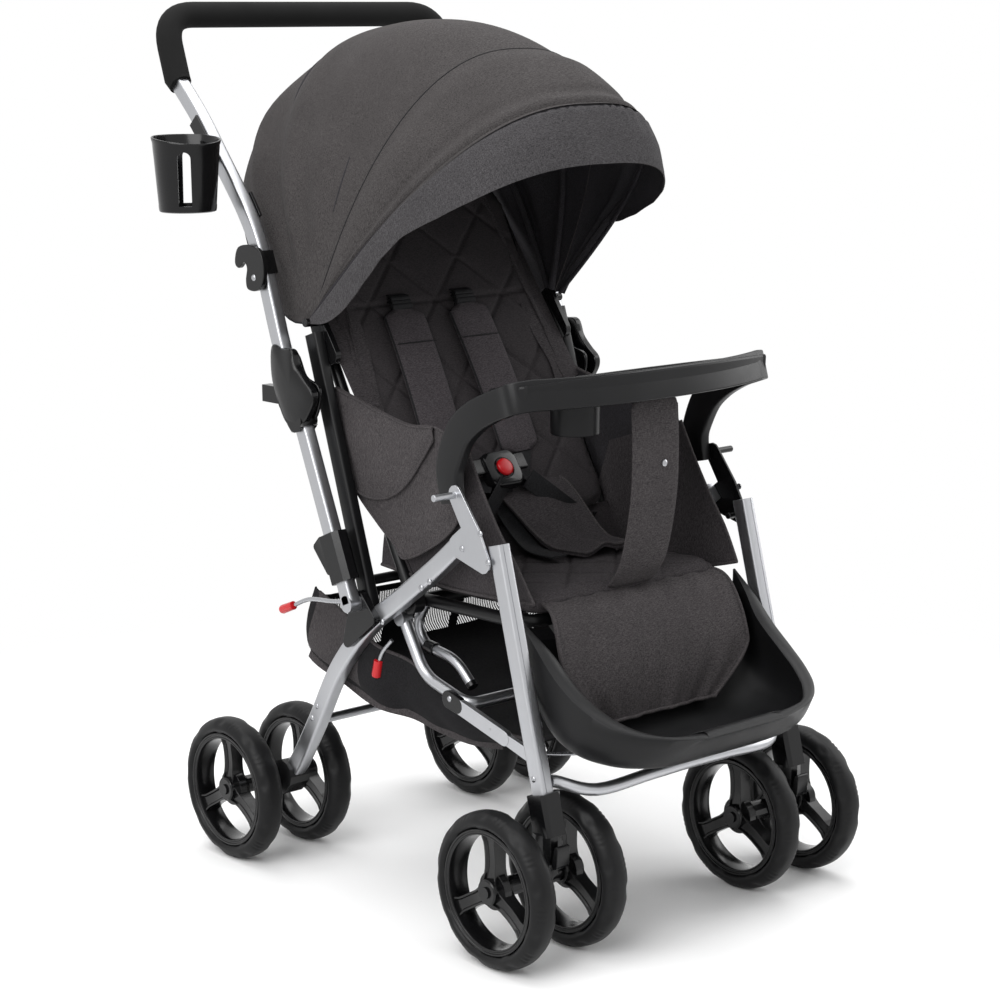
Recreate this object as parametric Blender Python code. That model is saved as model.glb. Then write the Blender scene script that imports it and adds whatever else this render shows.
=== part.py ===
"""A reversible stroller: twin wheels, scissor legs, swing-over handle, hood, tray and footrest.

Metres, +Z up. The front of the stroller is towards -Y and its right side is -X.
Places are measured from the floor, midway between the axles, on the symmetry plane.
"""
import math

import bmesh
import bpy
from mathutils import Matrix, Vector

# Middle of the whole stroller's box, which becomes the origin on the floor
BOX_MIDDLE_X = -0.03075
BOX_MIDDLE_Y = 0.01198

# Clearances
GAP = 0.0003
BORE_GAP = 0.0003
NEST_GAP = 0.0020
EYE_STEP = 0.0005

# Wheels, eight alike in four pods of two
WHEEL_R = 0.0875
TYRE_W = 0.033
TYRE_DEPTH = 0.017
TREAD_W = 0.018
RIM_W = 0.028
RIM_WALL = 0.0075
SPOKE_W = 0.016
SPOKE_T = 0.011
HUB_R = 0.015
HUB_W = 0.028
AXLE_R = 0.004
WHEEL_STEPS = 20
TWIN_SPACING = 0.104
WHEELBASE = 0.490
CAP_R = 0.0065
CAP_T = 0.0020
BOSS_R = 0.011

# Legs, two planes of box tube
LEG_X = 0.190
LEG_W = 0.017
REAR_LEG_D = 0.022
FRONT_LEG_D = 0.020
LEG_CORNER = 0.004
FRONT_LEG_TOP = (-0.1945, 0.452)
FRONT_LEG_FOOT = (-0.2742, 0.150)
REAR_LEG_LINE = [
    (-0.145, 0.454),
    (-0.093, 0.412),
    (-0.021, 0.360),
    (0.035, 0.321),
    (0.094, 0.258),
    (0.139, 0.185),
    (0.178, 0.126),
    (0.205, 0.098),
]
LEG_INNER = LEG_X - LEG_W / 2
LEG_OUTER = LEG_X + LEG_W / 2

# Pins and pivots, as (y, z)
PIN_R = 0.004
FRONT_PIVOT = (-0.180, 0.431)
HANDLE_PIVOT = (0.036, 0.351)
FOLD_BAR_PIVOT = (0.002, 0.333)
TOGGLE = (-0.094, 0.257)
LINK_PIVOT = (-0.250, 0.2165)
TRAY_PIN = (-0.135, 0.500)
PLATE_T = 0.003
TRAY_PIN_END = 0.232
BRACKET_R = 0.013
BRACKET_ELBOW = (-0.162, 0.462)
BRACKET_HEEL = (-0.137, 0.443)

# Pods
SWIVEL_Y = -0.271
HOUSING_FOOT_Z = 0.131
HOUSING_TOP_Z = 0.189
HOUSING_W = 0.028
HOUSING_D = 0.030
SWIVEL_HEAD_R = 0.0165
SWIVEL_PIN_R = 0.005
SWIVEL_PIN_L = 0.014
FORK_W = 0.024
FORK_CROWN_Z = 0.116
FORK_CROWN_R = 0.0155
AXLE_BOSS_R = 0.014
REAR_HUB_W = 0.029
REAR_HUB_R = 0.0185
REAR_BOSS_R = 0.016
HUB_REACH = 0.012
PEDAL_W = 0.024
PEDAL_EYE_R = 0.005
PEDAL_L = 0.034
PEDAL_RISE = math.radians(28)
PEDAL_SEAT = math.radians(50)
LOCK_FLAP_W = 0.018
LOCK_FLAP_R = 0.0045
LOCK_FLAP_H = 0.019

# Cross tubes
FRONT_CROSS_R = 0.007
FRONT_CROSS_END = (-0.262, 0.1985)
FRONT_CROSS_LOW = (-0.290, 0.1880)
FRONT_CROSS_INNER = (-0.2965, 0.1915)
FRONT_CROSS_MID = (-0.2985, 0.1935)
FRONT_CROSS_X = (0.135, 0.060)
REAR_CROSS_R = 0.0055
REAR_CROSS_AT = (0.139, 0.185)

# Fold linkage
FOLD_BAR_X = 0.1665
FOLD_BAR_R = 0.007
FOLD_BAR_KNEE = (-0.036, 0.271)
FOLD_BAR_CORNER = (-0.112, 0.252)
LINK_T = 0.0065
LINK_R = 0.009
EYE_R = 0.010

# Handle, flat tube
HANDLE_X = 0.2155
HANDLE_W = 0.016
HANDLE_D = 0.020
HANDLE_CORNER = 0.004
KNUCKLE = (0.133, 0.580)
HANDLE_LINE = [
    (0.159, 0.636),
    (0.187, 0.717),
    (0.203, 0.757),
    (0.229, 0.797),
    (0.272, 0.848),
    (0.313, 0.896),
    (0.360, 0.941),
]
GRIP_X = 0.210
GRIP_BAR = (0.3945, 1.0175)
GRIP_CORNER = 0.055
FOAM_R = 0.0155
FOAM_START_Y = 0.355
KNUCKLE_PIN_R = 0.005
CHEEK_R = 0.021
CHEEK_INNER_T = 0.0035
CHEEK_OUTER_T = 0.0045
KNUCKLE_D = 0.030
KNUCKLE_SLEEVE = (0.022, 0.038)
COVER_SPAN = (0.028, 0.080)
TUBE_STOP = 0.018
SLIDER_SPAN = (0.026, 0.084)
SLIDER_WALL = 0.0035
SLIDER_D = 0.036
SLIDER_WING = 0.024
WING_INSET = 0.010
WING_RISE = 0.008
WING_R = 0.004

# Lever under the handle pivot
LEVER_R = 0.0026
LEVER_LINE = [(0.085, 0.343), (0.130, 0.338), (0.178, 0.319)]
LEVER_CAP_R = 0.0055
LEVER_CAP_L = 0.026

# Uprights, the black tubes that carry the hood
UPRIGHT_X = 0.190
UPRIGHT_W = 0.014
UPRIGHT_D = 0.022
UPRIGHT_FOOT = (0.028, 0.330)
UPRIGHT_CROSS = (0.043, 0.372)
HOOD_PIVOT = (0.135, 0.665)
TONGUE_X = 0.1825
TONGUE_T = 0.004
TONGUE_R = 0.012
HOOD_PIN_R = 0.005
HOOD_PIN_END = 0.2005

# Backrest
RECLINE_PIVOT = (-0.015, 0.354)
BACK_LEAN = math.radians(28.5)
BACK_L = 0.530
BACK_TUBE_X = 0.165
BACK_TUBE_R = 0.007
BACK_CORNER = 0.075
BACK_EYE_R = 0.0135
BACK_PAD_W = 0.334
BACK_PAD_FROM = 0.058
BACK_PAD_TO = 0.512
BACK_PAD_T = 0.026

# Hood, three nested shells turned about the hood pivot
HOOD_PER_BACK = 0.651
HOOD_R = BACK_L * HOOD_PER_BACK
HOOD_WALL = 0.003
HOOD_REAR_POWER = (2.5, 2.5)
HOOD_FRONT_POWER = (2.5, 2.6)
HOOD_VISOR_POWER = (2.6, 2.7)
HOOD_HUB_R = 0.018
HOOD_REAR_W = 0.1885
HOOD_REAR_SPAN = (-60, 22)
HOOD_REAR_DROP = [0.030, 0.015, 0.005, 0.001, 0.0, 0.0]
HOOD_REAR_R = [HOOD_R - drop for drop in HOOD_REAR_DROP]
HOOD_FRONT_SPAN = (20, 48)
HOOD_FRONT_RISE = [0.0055, 0.0130, 0.0210]
HOOD_FRONT_R = [HOOD_R + rise for rise in HOOD_FRONT_RISE]
HOOD_VISOR_SPAN = (46, 58)
HOOD_VISOR_RISE = [0.0265, 0.0200, 0.0060]
HOOD_VISOR_R = [HOOD_R + rise for rise in HOOD_VISOR_RISE]
HOOD_VISOR_SIDE = 0.25
HOOD_SIDE_FROM = math.radians(20)
HOOD_SIDE_REACH = math.radians(20)

# Seat
SEAT_TUBE_R = 0.008
SEAT_RAIL_X = 0.148
SEAT_RAIL_R = 0.0075
SEAT_FRONT_Y = -0.190
SEAT_FRONT_Z = 0.357
SEAT_CORNER = 0.035
STAY_R = 0.006
STAY_X = 0.143
STAY_LINE = [(-0.015, 0.354), (0.006, 0.322), (-0.008, 0.298), (-0.064, 0.291), (-0.093, 0.265)]
SEAT_PAD_W = 0.316
SEAT_PAD_FRONT = -0.217
SEAT_PAD_REAR = 0.004
SEAT_PAD_T = 0.028
CALF_T = 0.006
CALF_LINE = [
    (-0.200, 0.3765),
    (-0.228, 0.358),
    (-0.244, 0.322),
    (-0.251, 0.285),
    (-0.253, 0.258),
    (-0.253, 0.244),
]
CALF_HALF_W = [0.132, 0.140, 0.143, 0.140, 0.126, 0.098]
STRAP_W = 0.070
STRAP_T = 0.005
STRAP_LINE = [(-0.198, 0.3765), (-0.224, 0.412), (-0.240, 0.480), (-0.243, 0.540), (-0.240, 0.5997)]
QUILT_STEP = 0.062
QUILT_DIP = 0.005

# Side wings, the cloth from the backrest's sides to the armrests, seamed to the backrest pad
SIDE_WING_T = 0.004
SIDE_SEAM_SPAN = (0.095, 0.230)
SIDE_SEAM_T = 0.005
SIDE_SEAM_LAP = 0.012
SIDE_WING_OUTLINE = [
    (0.1085, 0.5895),
    (0.0521, 0.5760),
    (-0.0207, 0.5615),
    (-0.0800, 0.5600),
    (-0.1050, 0.5200),
    (-0.1120, 0.4713),
    (-0.0979, 0.4522),
    (-0.0623, 0.4262),
    (-0.0114, 0.4018),
    (0.0064, 0.4189),
    (0.0374, 0.4400),
    (0.0834, 0.4782),
    (0.1112, 0.5101),
    (0.1280, 0.5480),
]

# Buckle on the seat
BUCKLE_AT = (-0.014, -0.002)
BUCKLE_RISE = 0.133
BUCKLE_LEAN = math.radians(36)
BUCKLE_SIZE = (0.050, 0.046, 0.015)
STEM_W = 0.025
STEM_T = 0.003
STEM_FOOT_Y = -0.098
STEM_FOOT_RISE = 0.0378
STEM_BEND = 0.040
BUTTON_R = 0.011
BUTTON_RISE = 0.005
BUTTON_DEEP = 0.006

# Tray
TRAY_HALF_W = 0.1985
TRAY_REAR_Y = -0.113
TRAY_CORNER_Y = -0.226
TRAY_FRONT_Y = -0.264
TRAY_LOW_Z = 0.600
TRAY_FRONT_Z = 0.634
TRAY_REAR_Z = 0.6085
TRAY_RIM = 0.006
TRAY_FLOOR = 0.0035
CUP_RECESS_AT = (-0.074, -0.190)
CUP_RECESS_R = 0.028
CUP_RECESS_WALL = 0.0025
CUP_RECESS_Z = 0.560
ARM_T = 0.014
ARM_OUTLINE = [
    (-0.131, 0.486),
    (-0.113, 0.482),
    (-0.102, 0.503),
    (-0.0987, 0.527),
    (-0.1025, 0.549),
    (-0.1195, 0.581),
    (-0.146, 0.601),
    (-0.178, 0.612),
    (-0.205, 0.618),
    (-0.2215, 0.5985),
    (-0.1965, 0.5888),
    (-0.1711, 0.5741),
    (-0.1516, 0.5549),
    (-0.1383, 0.5321),
    (-0.1314, 0.5099),
]

# Cup holder
CUP_AT = (-0.2795, 0.250)
CLIP_RISE = 0.265
CLIP_H = 0.054
CLIP_LOW_Z = KNUCKLE[1] + CLIP_RISE
CUP_DROP = 0.053
CUP_BASE_Z = CLIP_LOW_Z - CUP_DROP
CUP_H = 0.088
CUP_BASE_R = 0.0335
CUP_RIM_R = 0.0405
CUP_WALL = 0.0025
CUP_SLOT_W = 0.015
CUP_SLOT_SPAN = (0.008, 0.070)
CLIP_WALL = 0.004
BRIDGE_DROP = 0.022
BRIDGE_T = 0.014

# Footrest tub: rim and floor lines as (y, z), and half widths
TUB_RIM = [
    (-0.2005, 0.372),
    (-0.232, 0.345),
    (-0.262, 0.316),
    (-0.292, 0.294),
    (-0.322, 0.277),
    (-0.350, 0.264),
    (-0.372, 0.256),
    (-0.386, 0.251),
]
TUB_FLOOR = [
    (-0.2005, 0.330),
    (-0.216, 0.262),
    (-0.240, 0.226),
    (-0.272, 0.213),
    (-0.304, 0.211),
    (-0.330, 0.212),
    (-0.352, 0.217),
    (-0.379, 0.241),
]
TUB_HALF_W = [0.172, 0.174, 0.174, 0.172, 0.164, 0.147, 0.116, 0.060]
TUB_WALL = 0.004
CRADLE_X = 0.100
CRADLE_W = 0.016
CRADLE_R = 0.0125
CRADLE_ROOT = (-0.204, 0.338)
CRADLE_LIP_Z = 0.360

# Basket
BASKET_RIM = [
    (0.152, 0.345),
    (0.147, 0.343),
    (0.088, 0.320),
    (0.034, 0.296),
    (0.000, 0.279),
    (-0.045, 0.257),
    (-0.100, 0.240),
    (-0.150, 0.229),
    (-0.198, 0.226),
]
BASKET_FLOOR = [
    (0.158, 0.330),
    (0.199, 0.237),
    (0.118, 0.210),
    (0.055, 0.197),
    (0.012, 0.191),
    (-0.038, 0.188),
    (-0.090, 0.191),
    (-0.145, 0.203),
    (-0.194, 0.219),
]
BASKET_HALF_W = [0.1790, 0.1812, 0.1812, 0.1812, 0.1585, 0.1560, 0.1560, 0.1560, 0.1500]
BASKET_WALL = 0.003

RIGHT = "right"
LEFT = "left"
X_AXIS = Vector((1, 0, 0))
Z_AXIS = Vector((0, 0, 1))

finishes = {}
empty_places = {}


def finish(name, red, green, blue, roughness, metallic=0.0):
    """A plain shader with the part's colour."""
    if name not in finishes:
        material = bpy.data.materials.new(name)
        material.use_nodes = True
        shader = material.node_tree.nodes["Principled BSDF"]
        shader.inputs["Base Color"].default_value = (red, green, blue, 1)
        shader.inputs["Roughness"].default_value = roughness
        shader.inputs["Metallic"].default_value = metallic
        material.diffuse_color = (red, green, blue, 1)
        finishes[name] = material
    return finishes[name]


def silver():
    return finish("satin_silver_aluminium", 0.72, 0.72, 0.73, 0.35, 0.9)


def black_plastic():
    return finish("gloss_black_plastic", 0.012, 0.012, 0.013, 0.3)


def satin_plastic():
    return finish("satin_dark_plastic", 0.035, 0.035, 0.037, 0.45)


def tyre_foam():
    return finish("moulded_tyre_foam", 0.015, 0.015, 0.016, 0.7)


def grip_foam():
    return finish("soft_grip_foam", 0.012, 0.012, 0.012, 0.9)


def melange():
    return finish("melange_cloth", 0.080, 0.072, 0.074, 0.95)


def dark_cloth():
    return finish("dark_lining_cloth", 0.030, 0.027, 0.029, 0.9)


def black_tube():
    return finish("black_painted_tube", 0.014, 0.014, 0.015, 0.4, 0.3)


def red_plastic():
    return finish("red_plastic", 0.55, 0.01, 0.012, 0.4)


# Shapes. Every function returns a closed mesh in the stroller's own frame.


def to_mesh(shape):
    """Turn a bmesh into a mesh whose faces point out."""
    bmesh.ops.recalc_face_normals(shape, faces=shape.faces)
    if shape.calc_volume(signed=True) < 0:
        bmesh.ops.reverse_faces(shape, faces=shape.faces)
    mesh = bpy.data.meshes.new("shape")
    shape.to_mesh(mesh)
    shape.free()
    return mesh


def loft(rings, loop=False):
    """Skin rings of equally many points, with the two ends capped or joined."""
    shape = bmesh.new()
    rows = [[shape.verts.new(point) for point in ring] for ring in rings]
    pairs = list(zip(rows, rows[1:]))
    if loop:
        pairs.append((rows[-1], rows[0]))
    else:
        shape.faces.new(rows[0])
        shape.faces.new(rows[-1])
    for low, high in pairs:
        for i in range(len(low)):
            j = (i + 1) % len(low)
            shape.faces.new((low[i], low[j], high[j], high[i]))
    return to_mesh(shape)


def circle_section(radius, steps=8):
    angles = [2 * math.pi * i / steps for i in range(steps)]
    return [(radius * math.cos(a), radius * math.sin(a)) for a in angles]


def box_section(width, depth, corner):
    """A rectangle with its corners cut off."""
    w, d = width / 2, depth / 2
    return [
        (w, d - corner),
        (w - corner, d),
        (corner - w, d),
        (-w, d - corner),
        (-w, corner - d),
        (corner - w, -d),
        (w - corner, -d),
        (w, corner - d),
    ]


def on_side(line, x):
    """Points of a (y, z) line in the side plane at x."""
    return [Vector((x, y, z)) for y, z in line]


def smooth_line(points, steps):
    """A smooth curve through every point."""
    line = []
    ends = [2 * points[0] - points[1]] + list(points) + [2 * points[-1] - points[-2]]
    for a, b, c, d in zip(ends, ends[1:], ends[2:], ends[3:]):
        for i in range(steps):
            t = i / steps
            line.append(
                0.5
                * (
                    2 * b
                    + (c - a) * t
                    + (2 * a - 5 * b + 4 * c - d) * t**2
                    + (3 * b - a - 3 * c + d) * t**3
                )
            )
    line.append(points[-1].copy())
    return line


def rounded(points, reach, steps=4):
    """The same line with each corner replaced by a bend that starts reach before it."""
    line = [points[0]]
    for before, corner, after in zip(points, points[1:], points[2:]):
        back = before - corner
        ahead = after - corner
        room = min(reach, back.length * 0.49, ahead.length * 0.49)
        start = corner + back.normalized() * room
        end = corner + ahead.normalized() * room
        for i in range(steps + 1):
            t = i / steps
            line.append(start * (1 - t) ** 2 + corner * (2 * t * (1 - t)) + end * t**2)
    line.append(points[-1])
    return line


def frames(line, side):
    """A centre and two section axes at each point, carried along without twist."""
    result = []
    side = Vector(side)
    for i, centre in enumerate(line):
        before = line[max(i - 1, 0)]
        after = line[min(i + 1, len(line) - 1)]
        ahead = (after - before).normalized()
        side = (side - ahead * side.dot(ahead)).normalized()
        result.append((centre, side.copy(), ahead.cross(side)))
    return result


def section_rings(stations, section):
    return [[c + a * u + b * v for u, v in section] for c, a, b in stations]


def swept(line, section, side=X_AXIS):
    return loft(section_rings(frames(line, side), section))


def sleeve(stations, outer, bore):
    """A tube wall between two sections along the same stations."""
    outside = section_rings(stations, outer)
    inside = section_rings(stations, bore)
    shape = bmesh.new()
    out_rows = [[shape.verts.new(p) for p in ring] for ring in outside]
    in_rows = [[shape.verts.new(p) for p in ring] for ring in inside]
    for rows in (out_rows, in_rows):
        for low, high in zip(rows, rows[1:]):
            for i in range(len(low)):
                j = (i + 1) % len(low)
                shape.faces.new((low[i], low[j], high[j], high[i]))
    for end in (0, -1):
        ring, hole = out_rows[end], in_rows[end]
        for i in range(len(ring)):
            j = (i + 1) % len(ring)
            shape.faces.new((ring[i], ring[j], hole[j], hole[i]))
    return to_mesh(shape)


def turned(profile, centre, axis=X_AXIS, steps=12, hollow=False):
    """Turn (along, radius) points about an axis through centre."""
    start = Vector((0, 0, -1)) if abs(axis.z) < 0.9 else X_AXIS
    start = (start - axis * start.dot(axis)).normalized()
    across = axis.cross(start)
    rings = []
    for along, radius in profile:
        ring = []
        for i in range(steps):
            angle = 2 * math.pi * i / steps
            outward = start * math.cos(angle) + across * math.sin(angle)
            ring.append(centre + axis * along + outward * radius)
        rings.append(ring)
    return loft(rings, loop=hollow)


def rod(start, end, radius, steps=10):
    axis = (end - start).normalized()
    return turned([(0, radius), ((end - start).length, radius)], start, axis, steps)


def cross_rod(x_low, x_high, at, radius, steps=10):
    """A round bar along X, through the side-plane point at."""
    return rod(Vector((x_low, *at)), Vector((x_high, *at)), radius, steps)


def plate(outline, x_low, x_high):
    """A side-plane outline of (y, z) points, from x_low to x_high."""
    return loft([[Vector((x, y, z)) for y, z in outline] for x in (x_low, x_high)])


def slab(outline, z_low, z_high):
    """A plan outline of (x, y) points, from z_low to z_high."""
    return loft([[Vector((x, y, z)) for x, y in outline] for z in (z_low, z_high)])


def hull(circles, steps=10):
    """The outline that a belt round some (y, z, radius) circles would take."""
    points = []
    for y, z, radius in circles:
        for i in range(steps):
            angle = 2 * math.pi * i / steps
            points.append((y + radius * math.cos(angle), z + radius * math.sin(angle)))
    points.sort()
    outline = []
    for side in (points, points[::-1]):
        chain = []
        for p in side:
            while len(chain) > 1 and turns_right(chain[-2], chain[-1], p):
                chain.pop()
            chain.append(p)
        outline += chain[:-1]
    return outline


def eye_edges(x, radius):
    """The two faces of the flattened eye at the end of a round tube."""
    return x - radius - EYE_STEP, x + radius + EYE_STEP


def turns_right(a, b, c):
    return (b[0] - a[0]) * (c[1] - a[1]) - (b[1] - a[1]) * (c[0] - a[0]) <= 1e-12


def boolean(operation, first, others):
    body = bpy.data.objects.new("body", first)
    bpy.context.scene.collection.objects.link(body)
    tools = []
    for other in others:
        tool = bpy.data.objects.new("tool", other)
        bpy.context.scene.collection.objects.link(tool)
        modifier = body.modifiers.new(operation, "BOOLEAN")
        modifier.operation = operation
        modifier.object = tool
        tools.append(tool)
    depsgraph = bpy.context.evaluated_depsgraph_get()
    mesh = bpy.data.meshes.new_from_object(body.evaluated_get(depsgraph))
    for used in [body] + tools:
        bpy.data.objects.remove(used)
    return mesh


def unite(first, *others):
    return boolean("UNION", first, others)


def cut(first, *others):
    return boolean("DIFFERENCE", first, others)


def mirrored(mesh):
    """The same shape on the other side of the symmetry plane."""
    shape = bmesh.new()
    shape.from_mesh(mesh)
    bmesh.ops.scale(shape, vec=(-1, 1, 1), verts=shape.verts)
    bmesh.ops.reverse_faces(shape, faces=shape.faces)
    result = bpy.data.meshes.new("shape")
    shape.to_mesh(result)
    shape.free()
    return result


def grown(section, gap):
    """A section whose every point lies gap further out on both axes."""
    return [(u + math.copysign(gap, u), v + math.copysign(gap, v)) for u, v in section]


# Objects


def empty(name, at, parent=None):
    """An empty on a joint's axis, which carries the pieces that move about it."""
    result = bpy.data.objects.new(name, None)
    bpy.context.scene.collection.objects.link(result)
    result.empty_display_size = 0.02
    result.parent = parent
    place = Vector(at)
    base = empty_places[parent.name] if parent else Vector((BOX_MIDDLE_X, BOX_MIDDLE_Y, 0))
    result.location = place - base
    empty_places[result.name] = place
    return result


def add(name, mesh, material, parent):
    """A named piece whose mesh is given in the stroller's frame, hung from its empty."""
    mesh.name = name
    mesh.materials.clear()
    mesh.materials.append(material)
    mesh.shade_smooth()
    mesh.set_sharp_from_angle(angle=math.radians(35))
    piece = bpy.data.objects.new(name, mesh)
    bpy.context.scene.collection.objects.link(piece)
    piece.parent = parent
    piece.location = -empty_places[parent.name]
    return piece


def add_pair(name, mesh, material, parents):
    """The left piece as modelled, and its mirror image on the right."""
    add(f"{name}_{LEFT}", mesh, material, parents[LEFT])
    add(f"{name}_{RIGHT}", mirrored(mesh), material, parents[RIGHT])


def point_on(line, z):
    """The y of a straight (y, z) line at height z."""
    (y0, z0), (y1, z1) = line
    return y0 + (y1 - y0) * (z - z0) / (z1 - z0)


def along(start, end, distance):
    """The (y, z) point that lies distance from start towards end."""
    ahead = Vector((end[0] - start[0], end[1] - start[1])).normalized()
    return (start[0] + ahead.x * distance, start[1] + ahead.y * distance)


# Wheels and pods


def tyre_mesh(x, y):
    half = TYRE_W / 2
    tread = TREAD_W / 2
    inner = WHEEL_R - TYRE_DEPTH
    profile = [
        (-tread, WHEEL_R),
        (tread, WHEEL_R),
        (half, WHEEL_R - 0.008),
        (half - 0.0015, inner),
        (0.0015 - half, inner),
        (-half, WHEEL_R - 0.008),
    ]
    return turned(profile, Vector((x, y, WHEEL_R)), steps=WHEEL_STEPS, hollow=True)


def rim_mesh(x, y):
    centre = Vector((x, y, WHEEL_R))
    outer = WHEEL_R - TYRE_DEPTH - GAP
    inner = outer - RIM_WALL
    half = RIM_W / 2
    ring = turned(
        [(-half, outer), (half, outer), (half, inner), (-half, inner)],
        centre,
        steps=WHEEL_STEPS,
        hollow=True,
    )
    hub = turned([(-HUB_W / 2, HUB_R), (HUB_W / 2, HUB_R)], centre, steps=10)
    reach = inner + RIM_WALL / 2
    spokes = []
    for i in range(3):
        turn = Matrix.Rotation(2 * math.pi * i / 3, 4, "X")
        ring_line = [centre, centre + turn @ Vector((0, 0, reach))]
        section = box_section(SPOKE_T, SPOKE_W, 0.002)
        spokes.append(swept(ring_line, section))
    bore = cross_rod(x - HUB_W, x + HUB_W, (y, WHEEL_R), AXLE_R + BORE_GAP)
    return cut(unite(ring, hub, *spokes), bore)


def axle_meshes(x, y):
    """The boss and axle of a pod, and a cap on each end of the axle."""
    at = (y, WHEEL_R)
    boss = TWIN_SPACING / 2 - HUB_W / 2 - GAP
    cap = TWIN_SPACING / 2 + HUB_W / 2 + GAP
    return [
        cross_rod(x - boss, x + boss, at, BOSS_R),
        cross_rod(x - cap - CAP_T / 2, x + cap + CAP_T / 2, at, AXLE_R),
        cross_rod(x + cap, x + cap + CAP_T, at, CAP_R),
        cross_rod(x - cap - CAP_T, x - cap, at, CAP_R),
    ]


def front_leg_line(x=LEG_X):
    return on_side([FRONT_LEG_TOP, FRONT_LEG_FOOT], x)


def caster_housing_mesh():
    foot_z = HOUSING_FOOT_Z
    line = [FRONT_LEG_TOP, FRONT_LEG_FOOT]
    top = (point_on(line, HOUSING_TOP_Z), HOUSING_TOP_Z)
    low_z = FRONT_LEG_FOOT[1] - 0.006
    low = (point_on(line, low_z), low_z)
    shoe = swept(on_side([low, top], LEG_X), box_section(HOUSING_W, HOUSING_D, 0.004))
    axis_point = Vector((LEG_X, SWIVEL_Y, foot_z))
    head = turned([(0, SWIVEL_HEAD_R), (low_z - foot_z + 0.004, SWIVEL_HEAD_R)], axis_point, Z_AXIS)
    section = grown(box_section(LEG_W, FRONT_LEG_D, LEG_CORNER), GAP)
    foot = along(FRONT_LEG_FOOT, FRONT_LEG_TOP, -GAP)
    past = along(FRONT_LEG_FOOT, FRONT_LEG_TOP, 0.1)
    socket = swept(on_side([foot, past], LEG_X), section)
    depth = SWIVEL_PIN_L - 0.004
    bore = turned(
        [(-0.01, SWIVEL_PIN_R + BORE_GAP), (depth, SWIVEL_PIN_R + BORE_GAP)],
        axis_point,
        Z_AXIS,
    )
    return cut(unite(shoe, head), socket, bore)


def front_fork_mesh():
    top = HOUSING_FOOT_Z - GAP
    y = -WHEELBASE / 2
    yoke = plate(
        hull([(y, WHEEL_R, AXLE_BOSS_R), (SWIVEL_Y, FORK_CROWN_Z, FORK_CROWN_R - 0.0005)], 12),
        LEG_X - FORK_W / 2,
        LEG_X + FORK_W / 2,
    )
    floor = Vector((LEG_X, SWIVEL_Y, FORK_CROWN_Z))
    crown = turned([(0, FORK_CROWN_R), (top - FORK_CROWN_Z, FORK_CROWN_R)], floor, Z_AXIS)
    pin_top = top - FORK_CROWN_Z + SWIVEL_PIN_L - 0.006
    pin = turned([(0, SWIVEL_PIN_R), (pin_top, SWIVEL_PIN_R)], floor, Z_AXIS, 12)
    over = slab([(0, -1), (1, -1), (1, 1), (0, 1)], top, 1)
    trimmed = cut(yoke, over)
    return unite(trimmed, crown, pin, *axle_meshes(LEG_X, y))


def swivel_lock_place():
    return (SWIVEL_Y - FORK_CROWN_R - GAP - LOCK_FLAP_R, FORK_CROWN_Z)


def swivel_lock_mesh():
    y, z = swivel_lock_place()
    outline = hull([(y, z, LOCK_FLAP_R), (y - 0.003, z + LOCK_FLAP_H, LOCK_FLAP_R - 0.0015)])
    return plate(outline, LEG_X - LOCK_FLAP_W / 2, LEG_X + LOCK_FLAP_W / 2)


def rear_leg_curve(x=LEG_X):
    return smooth_line(on_side(REAR_LEG_LINE, x), 2)


def rear_hub_mesh():
    y = WHEELBASE / 2
    foot = REAR_LEG_LINE[-1]
    above = REAR_LEG_LINE[-2]
    upper = along(foot, above, HUB_REACH)
    body = plate(
        hull([(y, WHEEL_R, REAR_BOSS_R), (*foot, REAR_HUB_R), (*upper, REAR_HUB_R)], 12),
        LEG_X - REAR_HUB_W / 2,
        LEG_X + REAR_HUB_W / 2,
    )
    section = grown(box_section(LEG_W, REAR_LEG_D, LEG_CORNER), GAP)
    curve = rear_leg_curve()
    last = curve[-1] + (curve[-1] - curve[-2]).normalized() * GAP
    socket = swept(curve[:-1] + [last], section)
    return unite(cut(body, socket), *axle_meshes(LEG_X, y))


def pedal_place():
    reach = REAR_BOSS_R + GAP + PEDAL_EYE_R
    return (
        WHEELBASE / 2 + reach * math.cos(PEDAL_SEAT),
        WHEEL_R + reach * math.sin(PEDAL_SEAT),
    )


def brake_pedal_mesh():
    y, z = pedal_place()
    tip_y = y + PEDAL_L * math.cos(PEDAL_RISE)
    tip_z = z + PEDAL_L * math.sin(PEDAL_RISE)
    outline = hull([(y, z, PEDAL_EYE_R), (tip_y, tip_z, PEDAL_EYE_R * 0.6)])
    return plate(outline, LEG_X - PEDAL_W / 2, LEG_X + PEDAL_W / 2)


# Frame


def rear_leg_mesh():
    leg = swept(rear_leg_curve(), box_section(LEG_W, REAR_LEG_D, LEG_CORNER))
    lug = plate(
        hull([(*HANDLE_PIVOT, 0.013), (0.012, 0.335, 0.007), (0.058, 0.300, 0.007)], 10),
        LEG_OUTER - 0.001,
        lug_face(),
    )
    handle_pin = cross_rod(LEG_OUTER - 0.001, handle_outer() + GAP + CAP_T, HANDLE_PIVOT, PIN_R)
    head = cross_rod(handle_outer() + GAP, handle_outer() + GAP + 0.003, HANDLE_PIVOT, 2 * PIN_R)
    inner_end = FOLD_BAR_X - FOLD_BAR_R - 0.001
    fold_pin = cross_rod(inner_end, LEG_INNER + 0.002, FOLD_BAR_PIVOT, PIN_R)
    return unite(leg, lug, handle_pin, head, fold_pin)


def lug_face():
    return LEG_OUTER + PLATE_T


def handle_outer():
    return HANDLE_X + HANDLE_W / 2


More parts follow.
